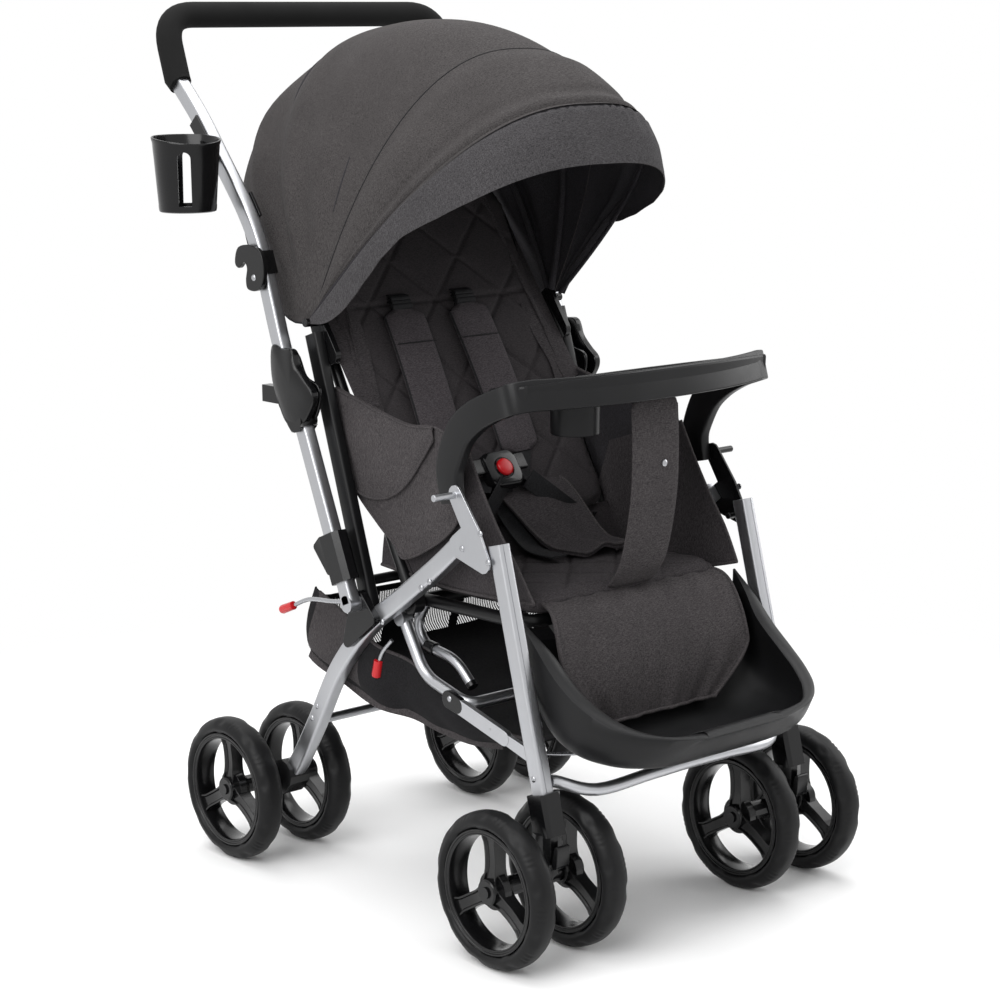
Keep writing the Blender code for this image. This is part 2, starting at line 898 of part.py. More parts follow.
def front_leg_mesh():
    leg = swept(front_leg_line(), box_section(LEG_W, FRONT_LEG_D, LEG_CORNER))
    y, z = FRONT_PIVOT
    centre_y = point_on([FRONT_LEG_TOP, FRONT_LEG_FOOT], z)
    ear = plate(hull([(y, z, EYE_R), (centre_y, z, EYE_R - 0.001)], 12), LEG_INNER, LEG_OUTER)
    bore = cross_rod(LEG_INNER - 0.01, LEG_OUTER + 0.01, FRONT_PIVOT, PIN_R + BORE_GAP)
    pin = cross_rod(link_inner() - 0.0003, LEG_INNER + 0.002, LINK_PIVOT, PIN_R)
    return unite(cut(unite(leg, ear), bore), pin)


def bracket_mesh():
    x_low = LEG_OUTER + GAP
    x_high = x_low + PLATE_T
    elbow = (*BRACKET_ELBOW, BRACKET_R)
    arm = plate(hull([(*TRAY_PIN, BRACKET_R - 0.002), elbow], 12), x_low, x_high)
    heel = (*BRACKET_HEEL, BRACKET_R)
    base = plate(hull([elbow, (*FRONT_PIVOT, BRACKET_R - 0.001), heel], 12), x_low, x_high)
    tray_pin = cross_rod(x_low + 0.001, TRAY_PIN_END, TRAY_PIN, PIN_R)
    leg_pin = cross_rod(LEG_INNER - 0.0015, x_low + 0.001, FRONT_PIVOT, PIN_R)
    return unite(arm, base, tray_pin, leg_pin)


def front_cross_tube_mesh():
    end = LEG_INNER - GAP
    half = [
        Vector((end, *FRONT_CROSS_END)),
        Vector((end - 0.010, *FRONT_CROSS_END)),
        Vector((FRONT_CROSS_X[0], *FRONT_CROSS_LOW)),
        Vector((FRONT_CROSS_X[1], *FRONT_CROSS_INNER)),
        Vector((0, *FRONT_CROSS_MID)),
    ]
    other = [Vector((-p.x, p.y, p.z)) for p in half[-2::-1]]
    line = half[:1] + smooth_line(half[1:] + other[:-1], 3) + other[-1:]
    return swept(line, circle_section(FRONT_CROSS_R), Z_AXIS)


def rear_cross_tube_mesh():
    end = LEG_INNER - GAP
    return cross_rod(-end, end, REAR_CROSS_AT, REAR_CROSS_R)


def link_inner():
    return LEG_INNER - GAP - LINK_T


def fold_bar_mesh():
    side = on_side([FOLD_BAR_PIVOT, FOLD_BAR_KNEE, FOLD_BAR_CORNER], FOLD_BAR_X)
    other = [Vector((-p.x, p.y, p.z)) for p in side[::-1]]
    bar = swept(rounded(side + other, 0.018, 4), circle_section(FOLD_BAR_R))
    parts = []
    bores = []
    for sign in (1, -1):
        edges = eye_edges(sign * FOLD_BAR_X, FOLD_BAR_R)
        parts.append(plate(hull([(*FOLD_BAR_PIVOT, EYE_R)], 12), *edges))
        bores.append(cross_rod(edges[0] - 0.01, edges[1] + 0.01, FOLD_BAR_PIVOT, PIN_R + BORE_GAP))
    return cut(unite(bar, *parts), *bores)


def fold_link_mesh():
    outline = hull([(*TOGGLE, LINK_R), (*LINK_PIVOT, LINK_R - 0.001)], 12)
    link = plate(outline, link_inner(), link_inner() + LINK_T)
    bore = cross_rod(link_inner() - 0.01, LEG_INNER, LINK_PIVOT, PIN_R + BORE_GAP)
    return cut(link, bore)


def seat_frame_mesh():
    end = LEG_INNER - GAP
    cross = cross_rod(-end, end, RECLINE_PIVOT, SEAT_TUBE_R)
    side = [Vector((SEAT_RAIL_X, *RECLINE_PIVOT)), Vector((SEAT_RAIL_X, SEAT_FRONT_Y, SEAT_FRONT_Z))]
    other = [Vector((-p.x, p.y, p.z)) for p in side[::-1]]
    rails = swept(rounded(side + other, SEAT_CORNER), circle_section(SEAT_RAIL_R), X_AXIS)
    stay = swept(rounded(on_side(STAY_LINE, STAY_X), 0.02, 3), circle_section(STAY_R, 8))
    return unite(cross, rails, stay, mirrored(stay))


# Handle


def lower_tube_line():
    start = HANDLE_PIVOT
    end = along(KNUCKLE, HANDLE_PIVOT, TUBE_STOP)
    return on_side([start, end], HANDLE_X)


def handle_lower_mesh():
    tube = swept(lower_tube_line(), box_section(HANDLE_W, HANDLE_D, HANDLE_CORNER))
    end = plate(
        hull([(*HANDLE_PIVOT, HANDLE_D / 2)], 12),
        HANDLE_X - HANDLE_W / 2,
        HANDLE_X + HANDLE_W / 2,
    )
    bore = cross_rod(HANDLE_X - 0.03, HANDLE_X + 0.03, HANDLE_PIVOT, PIN_R + BORE_GAP)
    return cut(unite(tube, end), bore)


def knuckle_mesh():
    near, far = KNUCKLE_SLEEVE
    line = on_side([along(KNUCKLE, HANDLE_PIVOT, far), along(KNUCKLE, HANDLE_PIVOT, near)], HANDLE_X)
    stations = frames(line, X_AXIS)
    inner = HANDLE_X - HANDLE_W / 2 - GAP
    outer = HANDLE_X + HANDLE_W / 2 + GAP
    shift = (CHEEK_OUTER_T - CHEEK_INNER_T) / 2
    width = outer - inner + CHEEK_INNER_T + CHEEK_OUTER_T
    wall = [(u + shift, v) for u, v in box_section(width, KNUCKLE_D, 0.005)]
    bore = grown(box_section(HANDLE_W, HANDLE_D, HANDLE_CORNER), GAP)
    web = sleeve(stations, wall, bore)
    neck = along(KNUCKLE, HANDLE_PIVOT, near + 0.006)
    outline = hull([(*KNUCKLE, CHEEK_R), (*neck, KNUCKLE_D / 2 - 0.0015)], 12)
    cheeks = [
        plate(outline, inner - CHEEK_INNER_T, inner),
        plate(outline, outer, outer + CHEEK_OUTER_T),
    ]
    pin = cross_rod(inner - 0.001, outer + 0.001, KNUCKLE, KNUCKLE_PIN_R)
    return unite(web, *cheeks, pin)


def upper_handle_stations():
    """Stations all the way round the upper handle, from the left knuckle to the right one."""
    side = smooth_line(on_side([KNUCKLE] + HANDLE_LINE, HANDLE_X), 2)
    corner = Vector((GRIP_X, *GRIP_BAR))
    other = [Vector((-p.x, p.y, p.z)) for p in side[::-1]]
    other_corner = Vector((-GRIP_X, *GRIP_BAR))
    bend = rounded([side[-1], corner, other_corner, other[0]], GRIP_CORNER)
    return frames(side[:-1] + bend + other[1:], X_AXIS)


def handle_upper_mesh():
    stations = upper_handle_stations()
    tube = loft(section_rings(stations, box_section(HANDLE_W, HANDLE_D, HANDLE_CORNER)))
    pieces = []
    bores = []
    near, far = COVER_SPAN
    start = along(KNUCKLE, HANDLE_LINE[0], near)
    end = along(KNUCKLE, HANDLE_LINE[0], far)
    shift = (CHEEK_OUTER_T - CHEEK_INNER_T) / 2
    width = HANDLE_W + 2 * GAP + CHEEK_INNER_T + CHEEK_OUTER_T
    for sign in (1, -1):
        x = sign * HANDLE_X
        section = [(u + sign * shift, v) for u, v in box_section(width, KNUCKLE_D, 0.005)]
        pieces.append(swept(on_side([start, end], x), section))
        pieces.append(plate(hull([(*KNUCKLE, HANDLE_D / 2)], 12), x - HANDLE_W / 2, x + HANDLE_W / 2))
        bores.append(cross_rod(x - 0.03, x + 0.03, KNUCKLE, KNUCKLE_PIN_R + BORE_GAP))
    return cut(unite(tube, *pieces), *bores)


def foam_grip_mesh():
    stations = [s for s in upper_handle_stations() if s[0].y >= FOAM_START_Y]
    bore = grown(box_section(HANDLE_W, HANDLE_D, HANDLE_CORNER), GAP)
    turn = math.pi / 8
    outer = []
    for i in range(8):
        angle = turn + 2 * math.pi * i / 8 + math.radians(2)
        outer.append((FOAM_R * math.cos(angle), FOAM_R * math.sin(angle)))
    return sleeve(stations, outer, bore)


def handle_lock_mesh():
    near, far = SLIDER_SPAN
    line = on_side([along(HANDLE_PIVOT, KNUCKLE, near), along(HANDLE_PIVOT, KNUCKLE, far)], HANDLE_X)
    wall = box_section(HANDLE_W + 2 * SLIDER_WALL, SLIDER_D, 0.006)
    bore = grown(box_section(HANDLE_W, HANDLE_D, HANDLE_CORNER), GAP)
    body = sleeve(frames(line, X_AXIS), wall, bore)
    low_y, low_z = along(HANDLE_PIVOT, KNUCKLE, near + WING_INSET)
    high_y, high_z = along(HANDLE_PIVOT, KNUCKLE, far - WING_INSET)
    rear = SLIDER_D / 2
    tip = (low_y + rear + SLIDER_WING, (low_z + high_z) / 2 + WING_RISE, WING_R)
    wing = plate(
        hull([(low_y + rear, low_z, WING_R), (high_y + rear, high_z, WING_R), tip]),
        HANDLE_X - HANDLE_W / 2,
        HANDLE_X + HANDLE_W / 2,
    )
    return unite(body, wing)


def fold_lever_mesh():
    x_low = lug_face() + GAP
    x_high = HANDLE_X - HANDLE_W / 2 - GAP
    x = (x_low + x_high) / 2
    eye = plate(hull([(*HANDLE_PIVOT, EYE_R - 0.001)], 12), x_low, x_high)
    line = on_side([HANDLE_PIVOT] + LEVER_LINE, x)
    bar = swept(smooth_line(line, 2), circle_section(LEVER_R, 8))
    tip = line[-1] + (line[-1] - line[-2]).normalized() * 0.002
    root = tip - (line[-1] - line[-2]).normalized() * LEVER_CAP_L
    cap = rod(root, tip, LEVER_CAP_R)
    bore = cross_rod(x_low - 0.01, x_high + 0.01, HANDLE_PIVOT, PIN_R + BORE_GAP)
    return mirrored(cut(unite(eye, bar, cap), bore))


def clip_stations():
    """Stations on the upper handle's right side, up the height that the cup clip holds."""
    side = [station[0] for station in upper_handle_stations() if station[0].x < 0]
    points = []
    for share in (0, 1 / 3, 2 / 3, 1):
        z = CLIP_LOW_Z + CLIP_H * share
        above, below = next((a, b) for a, b in zip(side, side[1:]) if b.z <= z <= a.z)
        points.append(above.lerp(below, (above.z - z) / (above.z - below.z)))
    return frames(points, X_AXIS)


def cup_holder_mesh():
    x, y = CUP_AT
    top_z = CUP_BASE_Z + CUP_H
    profile = [
        (0, CUP_BASE_R),
        (CUP_H * 0.5, (CUP_BASE_R + CUP_RIM_R) / 2 - 0.0005),
        (CUP_H - 0.006, CUP_RIM_R - 0.002),
        (CUP_H, CUP_RIM_R),
        (CUP_H, CUP_RIM_R - CUP_WALL),
        (CUP_WALL * 2, CUP_BASE_R - CUP_WALL),
    ]
    cup = turned(profile, Vector((x, y, CUP_BASE_Z)), Z_AXIS, 20)
    slot_low, slot_high = (CUP_BASE_Z + rise for rise in CUP_SLOT_SPAN)
    slots = []
    for dx, dy in ((-1, 0), (0, -1), (0, 1)):
        start = Vector((x, y, 0)) + Vector((dx, dy, 0)) * CUP_BASE_R * 0.5
        end = Vector((x, y, 0)) + Vector((dx, dy, 0)) * CUP_RIM_R * 1.3
        start.z = end.z = (slot_low + slot_high) / 2
        slots.append(swept([start, end], box_section(slot_high - slot_low, CUP_SLOT_W, 0.003), Z_AXIS))
    stations = clip_stations()
    bore = grown(box_section(HANDLE_W, HANDLE_D, HANDLE_CORNER), GAP)
    outer = box_section(HANDLE_W + 2 * CLIP_WALL, HANDLE_D + 2 * CLIP_WALL, 0.005)
    clip = sleeve(stations, outer, bore)
    clip_y = stations[len(stations) // 2][0].y
    clip_x = -HANDLE_X - HANDLE_W / 2 - CLIP_WALL / 2
    outline = [(clip_x, clip_y - HANDLE_D / 2), (clip_x, clip_y + HANDLE_D / 2)]
    for angle in (65, 42, 20):
        turn = math.radians(angle)
        reach = CUP_RIM_R - CUP_WALL
        outline.append((x + reach * math.cos(turn), y + reach * math.sin(turn)))
    bridge = slab(outline, top_z - BRIDGE_DROP, top_z - BRIDGE_DROP + BRIDGE_T)
    return unite(cut(cup, *slots), clip, bridge)


# Uprights, hood and backrest


def upright_frame_mesh():
    neck = along(HOOD_PIVOT, UPRIGHT_FOOT, HOOD_HUB_R + 0.006)
    tube = swept(on_side([UPRIGHT_FOOT, neck], UPRIGHT_X), box_section(UPRIGHT_W, UPRIGHT_D, 0.006))
    below = along(neck, UPRIGHT_FOOT, TONGUE_R)
    lower = along(neck, UPRIGHT_FOOT, 2 * TONGUE_R)
    tongue = plate(
        hull([(*HOOD_PIVOT, TONGUE_R), (*below, TONGUE_R - 0.002)], 12),
        TONGUE_X - TONGUE_T / 2,
        TONGUE_X + TONGUE_T / 2,
    )
    shoulder = plate(
        hull([(*below, TONGUE_R - 0.002), (*lower, TONGUE_R - 0.004)]),
        TONGUE_X - TONGUE_T / 2,
        UPRIGHT_X,
    )
    pin = cross_rod(TONGUE_X, HOOD_PIN_END, HOOD_PIVOT, HOOD_PIN_R)
    leg = swept(rear_leg_curve(), grown(box_section(LEG_W + 0.02, REAR_LEG_D, LEG_CORNER), GAP))
    half = cut(unite(tube, tongue, shoulder, pin), leg)
    cross = cross_rod(-UPRIGHT_X, UPRIGHT_X, UPRIGHT_CROSS, 0.006)
    return unite(half, mirrored(half), cross)


def hood_fan(turn, side):
    """How much of its span a hood section takes up, from its hinge to its crown."""
    t = min(1.0, max(0.0, (turn - HOOD_SIDE_FROM) / HOOD_SIDE_REACH))
    return side + (1 - side) * t * t * (3 - 2 * t)


def hood_shell(width, radii, span, powers, side=1.0):
    """A shell of revolution between two angles, counted forward from upright."""
    across = 14
    around = 2 * (len(radii) - 1) + 1
    rings = []
    for i in range(around):
        t = i / (around - 1)
        power = 2 / (powers[0] + (powers[1] - powers[0]) * t)
        start = math.asin((HOOD_HUB_R * 0.75 / max(radii)) ** (1 / power))
        place = t * (len(radii) - 1)
        low = min(int(place), len(radii) - 2)
        radius = radii[low] + (radii[low + 1] - radii[low]) * (place - low)
        ring = []
        for w, r, order in ((width, radius, 1), (width - HOOD_WALL, radius - HOOD_WALL, -1)):
            arc = []
            for j in range(across + 1):
                turn = start + (math.pi - 2 * start) * j / across
                x = w * math.copysign(abs(math.cos(turn)) ** power, math.cos(turn))
                out = r * math.sin(turn) ** power
                fan = hood_fan(min(turn, math.pi - turn), side)
                angle = math.radians(span[0] + (span[1] - span[0]) * t * fan)
                y = HOOD_PIVOT[0] - out * math.sin(angle)
                z = HOOD_PIVOT[1] + out * math.cos(angle)
                arc.append(Vector((x, y, z)))
            ring += arc[::order]
        rings.append(ring)
    shell = loft(rings)
    hubs = []
    bores = []
    for sign in (1, -1):
        edges = sorted((sign * (width - HOOD_WALL), sign * width))
        hubs.append(plate(hull([(*HOOD_PIVOT, HOOD_HUB_R)], 12), *edges))
        bores.append(cross_rod(edges[0] - 0.01, edges[1] + 0.01, HOOD_PIVOT, HOOD_PIN_R + BORE_GAP))
    return cut(unite(shell, *hubs), *bores)


def hood_front_width():
    return HOOD_REAR_W + HOOD_WALL + NEST_GAP


def hood_visor_width():
    return hood_front_width() + HOOD_WALL + NEST_GAP


def back_point(distance, normal=0.0):
    """The (y, z) of a point up the backrest, and ahead of its frame's plane."""
    y, z = RECLINE_PIVOT
    return (
        y + distance * math.sin(BACK_LEAN) - normal * math.cos(BACK_LEAN),
        z + distance * math.cos(BACK_LEAN) + normal * math.sin(BACK_LEAN),
    )


def backrest_frame_mesh():
    side = on_side([back_point(BACK_EYE_R * 0.8), back_point(BACK_L)], BACK_TUBE_X)
    other = [Vector((-p.x, p.y, p.z)) for p in side[::-1]]
    tube = swept(rounded(side + other, BACK_CORNER), circle_section(BACK_TUBE_R))
    parts = []
    bores = []
    for sign in (1, -1):
        edges = eye_edges(sign * BACK_TUBE_X, BACK_TUBE_R)
        parts.append(plate(hull([(*RECLINE_PIVOT, BACK_EYE_R)], 12), *edges))
        bores.append(cross_rod(edges[0] - 0.01, edges[1] + 0.01, RECLINE_PIVOT, SEAT_TUBE_R + 2 * GAP))
    return cut(unite(tube, *parts), *bores)


def quilt(u, v):
    """How deep the diamond seams draw the cloth in at a place on a pad."""
    dips = []
    for diagonal in (u + v, u - v):
        off = abs((diagonal / QUILT_STEP) % 1 - 0.5) * 2
        dips.append(max(0.0, off - 0.55) / 0.45)
    return QUILT_DIP * max(dips)


def cushion(width, length, thickness, place, across=12, lengthways=14, round_front=0.0):
    """A crowned pad whose edges draw in, with diamond seams on its face.

    place(u, v, h) gives the point across by u, along by v and h above the underside.
    """
    shape = bmesh.new()
    top = []
    bottom = []
    for j in range(lengthways + 1):
        top_row = []
        bottom_row = []
        for i in range(across + 1):
            a = -math.cos(math.pi * i / across)
            b = -math.cos(math.pi * j / lengthways)
            edge = min(1 - abs(a) ** 6, 1 - abs(b) ** 6)
            draw = 1 - 0.05 * (1 - edge)
            u = a * width / 2 * (1 - 0.03 * (1 - b * b)) * draw
            v = (b + 1) / 2 * length
            crown = (1 - a**4) * (1 - b**4)
            drop = round_front * max(0.0, -b) ** 6
            face = thickness * (0.45 + 0.55 * crown**0.6) - quilt(u, v - length / 2) * crown
            on_rim = i in (0, across) or j in (0, lengthways)
            height = thickness * 0.42 if on_rim else max(face, thickness * 0.45)
            vertex = shape.verts.new(place(u, v, height - drop))
            top_row.append(vertex)
            bottom_row.append(vertex if on_rim else shape.verts.new(place(u, v, -drop)))
        top.append(top_row)
        bottom.append(bottom_row)
    for j in range(lengthways):
        for i in range(across):
            for rows in (top, bottom):
                shape.faces.new((rows[j][i], rows[j][i + 1], rows[j + 1][i + 1], rows[j + 1][i]))
    return to_mesh(shape)


def backrest_pad_mesh():
    def place(u, v, h):
        return Vector((u, *back_point(BACK_PAD_FROM + v, BACK_TUBE_R + GAP + h)))

    pad = cushion(BACK_PAD_W, BACK_PAD_TO - BACK_PAD_FROM, BACK_PAD_T, place, 12, 16)
    inner = BACK_TUBE_X + BACK_TUBE_R + EYE_STEP
    wing = plate(SIDE_WING_OUTLINE, inner, inner + SIDE_WING_T)
    front = BACK_TUBE_R + BACK_PAD_T / 2
    corners = [(d, n) for d in SIDE_SEAM_SPAN for n in (front - SIDE_SEAM_T / 2, front + SIDE_SEAM_T / 2)]
    strip = [back_point(*corners[i]) for i in (0, 1, 3, 2)]
    seam = plate(strip, BACK_PAD_W / 2 - SIDE_SEAM_LAP, inner + SIDE_WING_T / 2)
    return unite(pad, wing, mirrored(wing), seam, mirrored(seam))


def seat_pad_mesh():
    base = SEAT_FRONT_Z + SEAT_RAIL_R + GAP

    def place(u, v, h):
        return Vector((u, SEAT_PAD_FRONT + v, base + h))

    pad = cushion(SEAT_PAD_W, SEAT_PAD_REAR - SEAT_PAD_FRONT, SEAT_PAD_T, place, 12, 10)
    rings = []
    for (centre, side, up), half in zip(frames(on_side(CALF_LINE, 0), X_AXIS), CALF_HALF_W):
        rings.append([centre + side * u + up * v for u, v in box_section(2 * half, CALF_T, 0.002)])
    calf = loft(rings)
    strap = swept(smooth_line(on_side(STRAP_LINE, 0), 2), box_section(STRAP_W, STRAP_T, 0.0015))
    return unite(pad, calf, strap)


# Shells and fittings


def tub(rim, floor, half_widths, wall, steps=10, power=0.45):
    """An open scoop: a U section carried along a rim line and a floor line."""
    rings = []
    for i, (rim_at, floor_at, half) in enumerate(zip(rim, floor, half_widths)):
        before = Vector(floor[max(i - 1, 0)])
        after = Vector(floor[min(i + 1, len(floor) - 1)])
        ahead = (after - before).normalized()
        inward = Vector((ahead.y, -ahead.x))
        if inward.dot(Vector(rim_at) - Vector(floor_at)) < 0:
            inward = -inward
        ring = []
        for w, floor_point, order in (
            (half, Vector(floor_at), 1),
            (half - wall, Vector(floor_at) + inward * wall, -1),
        ):
            arc = []
            for j in range(steps + 1):
                turn = math.pi * j / steps
                x = w * math.copysign(abs(math.cos(turn)) ** power, math.cos(turn))
                deep = math.sin(turn) ** power
                y, z = Vector(rim_at).lerp(floor_point, deep)
                arc.append(Vector((x, y, z)))
            ring += arc[::order]
        rings.append(ring)
    return loft(rings)


def footrest_mesh():
    """The tub with two cradles that hang on the seat frame's front tube."""
    body = tub(TUB_RIM, TUB_FLOOR, TUB_HALF_W, TUB_WALL)
    tube = (SEAT_FRONT_Y, SEAT_FRONT_Z)
    web = hull([(*tube, CRADLE_R), (*CRADLE_ROOT, CRADLE_R / 2)], 12)
    bore = cross_rod(-1, 1, tube, SEAT_RAIL_R + BORE_GAP, 12)
    above = slab([(-1, -1), (1, -1), (1, 1), (-1, 1)], CRADLE_LIP_Z, 1)
    cradles = []
    for x in (CRADLE_X, -CRADLE_X):
        cradles.append(cut(plate(web, x - CRADLE_W / 2, x + CRADLE_W / 2), bore, above))
    return unite(body, *cradles)


def tray_outline(inset):
    """Plan outline of the tray, drawn in by inset."""
    half = TRAY_HALF_W - inset
    rear = TRAY_REAR_Y - inset
    front = TRAY_FRONT_Y + inset
    corner = TRAY_CORNER_Y + inset
    points = []
    steps = 12
    for i in range(steps + 1):
        t = -1 + 2 * i / steps
        x = half * t
        y = corner + (front - corner) * (1 - abs(t) ** 2.4)
        points.append((x, y))
    points.append((half, rear - 0.03))
    points.append((half - 0.012, rear - 0.008))
    points.append((half - 0.035, rear))
    points.append((-half + 0.035, rear))
    points.append((-half + 0.012, rear - 0.008))
    points.append((-half, rear - 0.03))
    return points


def tray_top(y):
    """Height of the tray's upper face, which falls towards the seat."""
    slope = (TRAY_REAR_Z - TRAY_FRONT_Z) / (TRAY_REAR_Y - TRAY_FRONT_Y)
    return TRAY_FRONT_Z + (y - TRAY_FRONT_Y) * slope


def tray_mesh():
    body = slab(tray_outline(0), TRAY_LOW_Z, TRAY_FRONT_Z)
    ahead = TRAY_FRONT_Y - TRAY_RIM
    behind = TRAY_REAR_Y + TRAY_RIM
    above = [(ahead, tray_top(ahead)), (behind, tray_top(behind)), (behind, 1), (ahead, 1)]
    wedge = plate(above, -1, 1)
    dish_z = TRAY_LOW_Z + TRAY_FLOOR
    dish = slab(tray_outline(TRAY_RIM), dish_z, 1)
    cup_floor = Vector((*CUP_RECESS_AT, CUP_RECESS_Z))
    deep = dish_z - CUP_RECESS_Z
    cup = turned([(0, CUP_RECESS_R - 0.001), (deep - 0.001, CUP_RECESS_R)], cup_floor, Z_AXIS, 16)
    inside = CUP_RECESS_R - CUP_RECESS_WALL
    hole = turned([(CUP_RECESS_WALL, inside - 0.001), (deep + 0.01, inside)], cup_floor, Z_AXIS, 16)
    arm = plate(ARM_OUTLINE, TRAY_HALF_W - ARM_T, TRAY_HALF_W)
    shell = unite(cut(body, wedge, dish), cup)
    return unite(cut(shell, hole), arm, mirrored(arm))


def buckle_top():
    return Vector((*BUCKLE_AT, SEAT_FRONT_Z + BUCKLE_RISE))


def buckle_axes():
    """The buckle's own up direction and the direction that its button faces."""
    up = Vector((0, math.sin(BUCKLE_LEAN), math.cos(BUCKLE_LEAN)))
    return up, X_AXIS.cross(up) * -1


def buckle_meshes():
    w, d, h = BUCKLE_SIZE
    top = buckle_top()
    up, out = buckle_axes()
    body = swept([top - out * h, top], box_section(w, d, 0.008))
    root = top - out * h / 2 - up * (d / 2 - STEM_T)
    foot = Vector((top.x, STEM_FOOT_Y, SEAT_FRONT_Z + STEM_FOOT_RISE))
    bend = foot + Vector((0, STEM_BEND, 0))
    stem = swept(rounded([root, bend, foot], STEM_BEND, 4), box_section(STEM_W, STEM_T, STEM_T / 4))
    deep = BUTTON_DEEP
    well = turned([(-deep, BUTTON_R + GAP), (0.01, BUTTON_R + GAP)], top, out, 16)
    start = GAP - deep / 2
    button = turned(
        [(start, BUTTON_R), (BUTTON_RISE - 0.002, BUTTON_R), (BUTTON_RISE, BUTTON_R - 0.003)],
        top,
        out,
        16,
    )
    return cut(unite(body, stem), well), button


# Assembly


def build_wheels(parents):
    for side, sign in ((LEFT, 1), (RIGHT, -1)):
        for end, y in (("front", -WHEELBASE / 2), ("rear", WHEELBASE / 2)):
            for place, shift in (("inner", -1), ("outer", 1)):
                x = sign * (LEG_X + shift * TWIN_SPACING / 2)
                carrier = parents[end][side]
                spin = empty(f"axis_wheel_{end}_{place}_{side}", (x, y, WHEEL_R), carrier)
                name = f"{end}_{place}_{side}"
                add(f"tyre_{name}", tyre_mesh(x, y), tyre_foam(), spin)
                add(f"rim_{name}", rim_mesh(x, y), black_plastic(), spin)


def build_front(root):
    fold = empty("axis_front_fold", (0, *FRONT_PIVOT), root)
    pair = {LEFT: fold, RIGHT: fold}
    add_pair("front_leg", front_leg_mesh(), silver(), pair)
    add_pair("caster_housing", caster_housing_mesh(), black_plastic(), pair)
    add("front_cross_tube", front_cross_tube_mesh(), silver(), fold)
    swivels = {}
    flaps = {}
    links = {}
    y, z = swivel_lock_place()
    for side, sign in ((LEFT, 1), (RIGHT, -1)):
        swivels[side] = empty(f"axis_swivel_{side}", (sign * LEG_X, SWIVEL_Y, HOUSING_FOOT_Z), fold)
        flaps[side] = empty(f"axis_swivel_lock_{side}", (sign * LEG_X, y, z), swivels[side])
        links[side] = empty(f"axis_fold_link_{side}", (sign * LEG_INNER, *LINK_PIVOT), fold)
    add_pair("front_fork", front_fork_mesh(), black_plastic(), swivels)
    add_pair("swivel_lock", swivel_lock_mesh(), black_plastic(), flaps)
    add_pair("fold_link", fold_link_mesh(), silver(), links)
    return swivels


def build_rear(root):
    pair = {LEFT: root, RIGHT: root}
    add_pair("rear_leg", rear_leg_mesh(), silver(), pair)
    add_pair("armrest_bracket", bracket_mesh(), silver(), pair)
    add_pair("rear_hub", rear_hub_mesh(), black_plastic(), pair)
    add("rear_cross_tube", rear_cross_tube_mesh(), silver(), root)
    add("seat_frame", seat_frame_mesh(), black_tube(), root)
    add("upright_frame", upright_frame_mesh(), black_tube(), root)
    pedals = {}
    for side, sign in ((LEFT, 1), (RIGHT, -1)):
        pedals[side] = empty(f"axis_brake_{side}", (sign * LEG_X, *pedal_place()), root)
    add_pair("brake_pedal", brake_pedal_mesh(), black_plastic(), pedals)
    bar = empty("axis_fold_bar", (0, *FOLD_BAR_PIVOT), root)
    add("fold_bar", fold_bar_mesh(), silver(), bar)
    lever = empty("axis_fold_lever", (-HANDLE_X, *HANDLE_PIVOT), root)
    add("fold_lever", fold_lever_mesh(), silver(), lever)
    return pair


def build_handle(root):
    swing = empty("axis_handle_swing", (0, *HANDLE_PIVOT), root)
    pair = {LEFT: swing, RIGHT: swing}
    add_pair("handle_lower", handle_lower_mesh(), silver(), pair)
    add_pair("knuckle", knuckle_mesh(), black_plastic(), pair)
    sliders = {}
    for side, sign in ((LEFT, 1), (RIGHT, -1)):
        middle = along(HANDLE_PIVOT, KNUCKLE, sum(SLIDER_SPAN) / 2)
        sliders[side] = empty(f"axis_handle_lock_{side}", (sign * HANDLE_X, *middle), swing)
    add_pair("handle_lock", handle_lock_mesh(), black_plastic(), sliders)
    fold = empty("axis_handle_fold", (0, *KNUCKLE), swing)
    add("handle_upper", handle_upper_mesh(), silver(), fold)
    add("foam_grip", foam_grip_mesh(), grip_foam(), fold)
    add("cup_holder", cup_holder_mesh(), black_plastic(), fold)


def build_seat(root):
    add("seat_pad", seat_pad_mesh(), melange(), root)
    add("footrest", footrest_mesh(), satin_plastic(), root)
    add("basket", tub(BASKET_RIM, BASKET_FLOOR, BASKET_HALF_W, BASKET_WALL, 8), dark_cloth(), root)
    recline = empty("axis_recline", (0, *RECLINE_PIVOT), root)
    add("backrest_frame", backrest_frame_mesh(), black_tube(), recline)
    add("backrest_pad", backrest_pad_mesh(), dark_cloth(), recline)
    buckle, button = buckle_meshes()
    add("buckle", buckle, black_plastic(), root)
    press = empty("axis_buckle_button", buckle_top(), root)
    add("buckle_button", button, red_plastic(), press)
    lift = empty("axis_tray", (0, *TRAY_PIN), root)
    add("tray", tray_mesh(), satin_plastic(), lift)


def build_hood(root):
    rear = hood_shell(HOOD_REAR_W, HOOD_REAR_R, HOOD_REAR_SPAN, HOOD_REAR_POWER)
    add("canopy_rear", rear, melange(), root)
    front = empty("axis_canopy_front", (0, *HOOD_PIVOT), root)
    shell = hood_shell(hood_front_width(), HOOD_FRONT_R, HOOD_FRONT_SPAN, HOOD_FRONT_POWER)
    add("canopy_front", shell, melange(), front)
    width = hood_visor_width()
    peak = hood_shell(width, HOOD_VISOR_R, HOOD_VISOR_SPAN, HOOD_VISOR_POWER, HOOD_VISOR_SIDE)
    add("canopy_visor", peak, melange(), front)


def clear_scene():
    for old in list(bpy.data.objects):
        bpy.data.objects.remove(old)


def main():
    clear_scene()
    root = empty("stroller", (0, 0, 0))
    rear_pair = build_rear(root)
    swivels = build_front(root)
    build_wheels({"front": swivels, "rear": rear_pair})
    build_handle(root)
    build_seat(root)
    build_hood(root)


main()
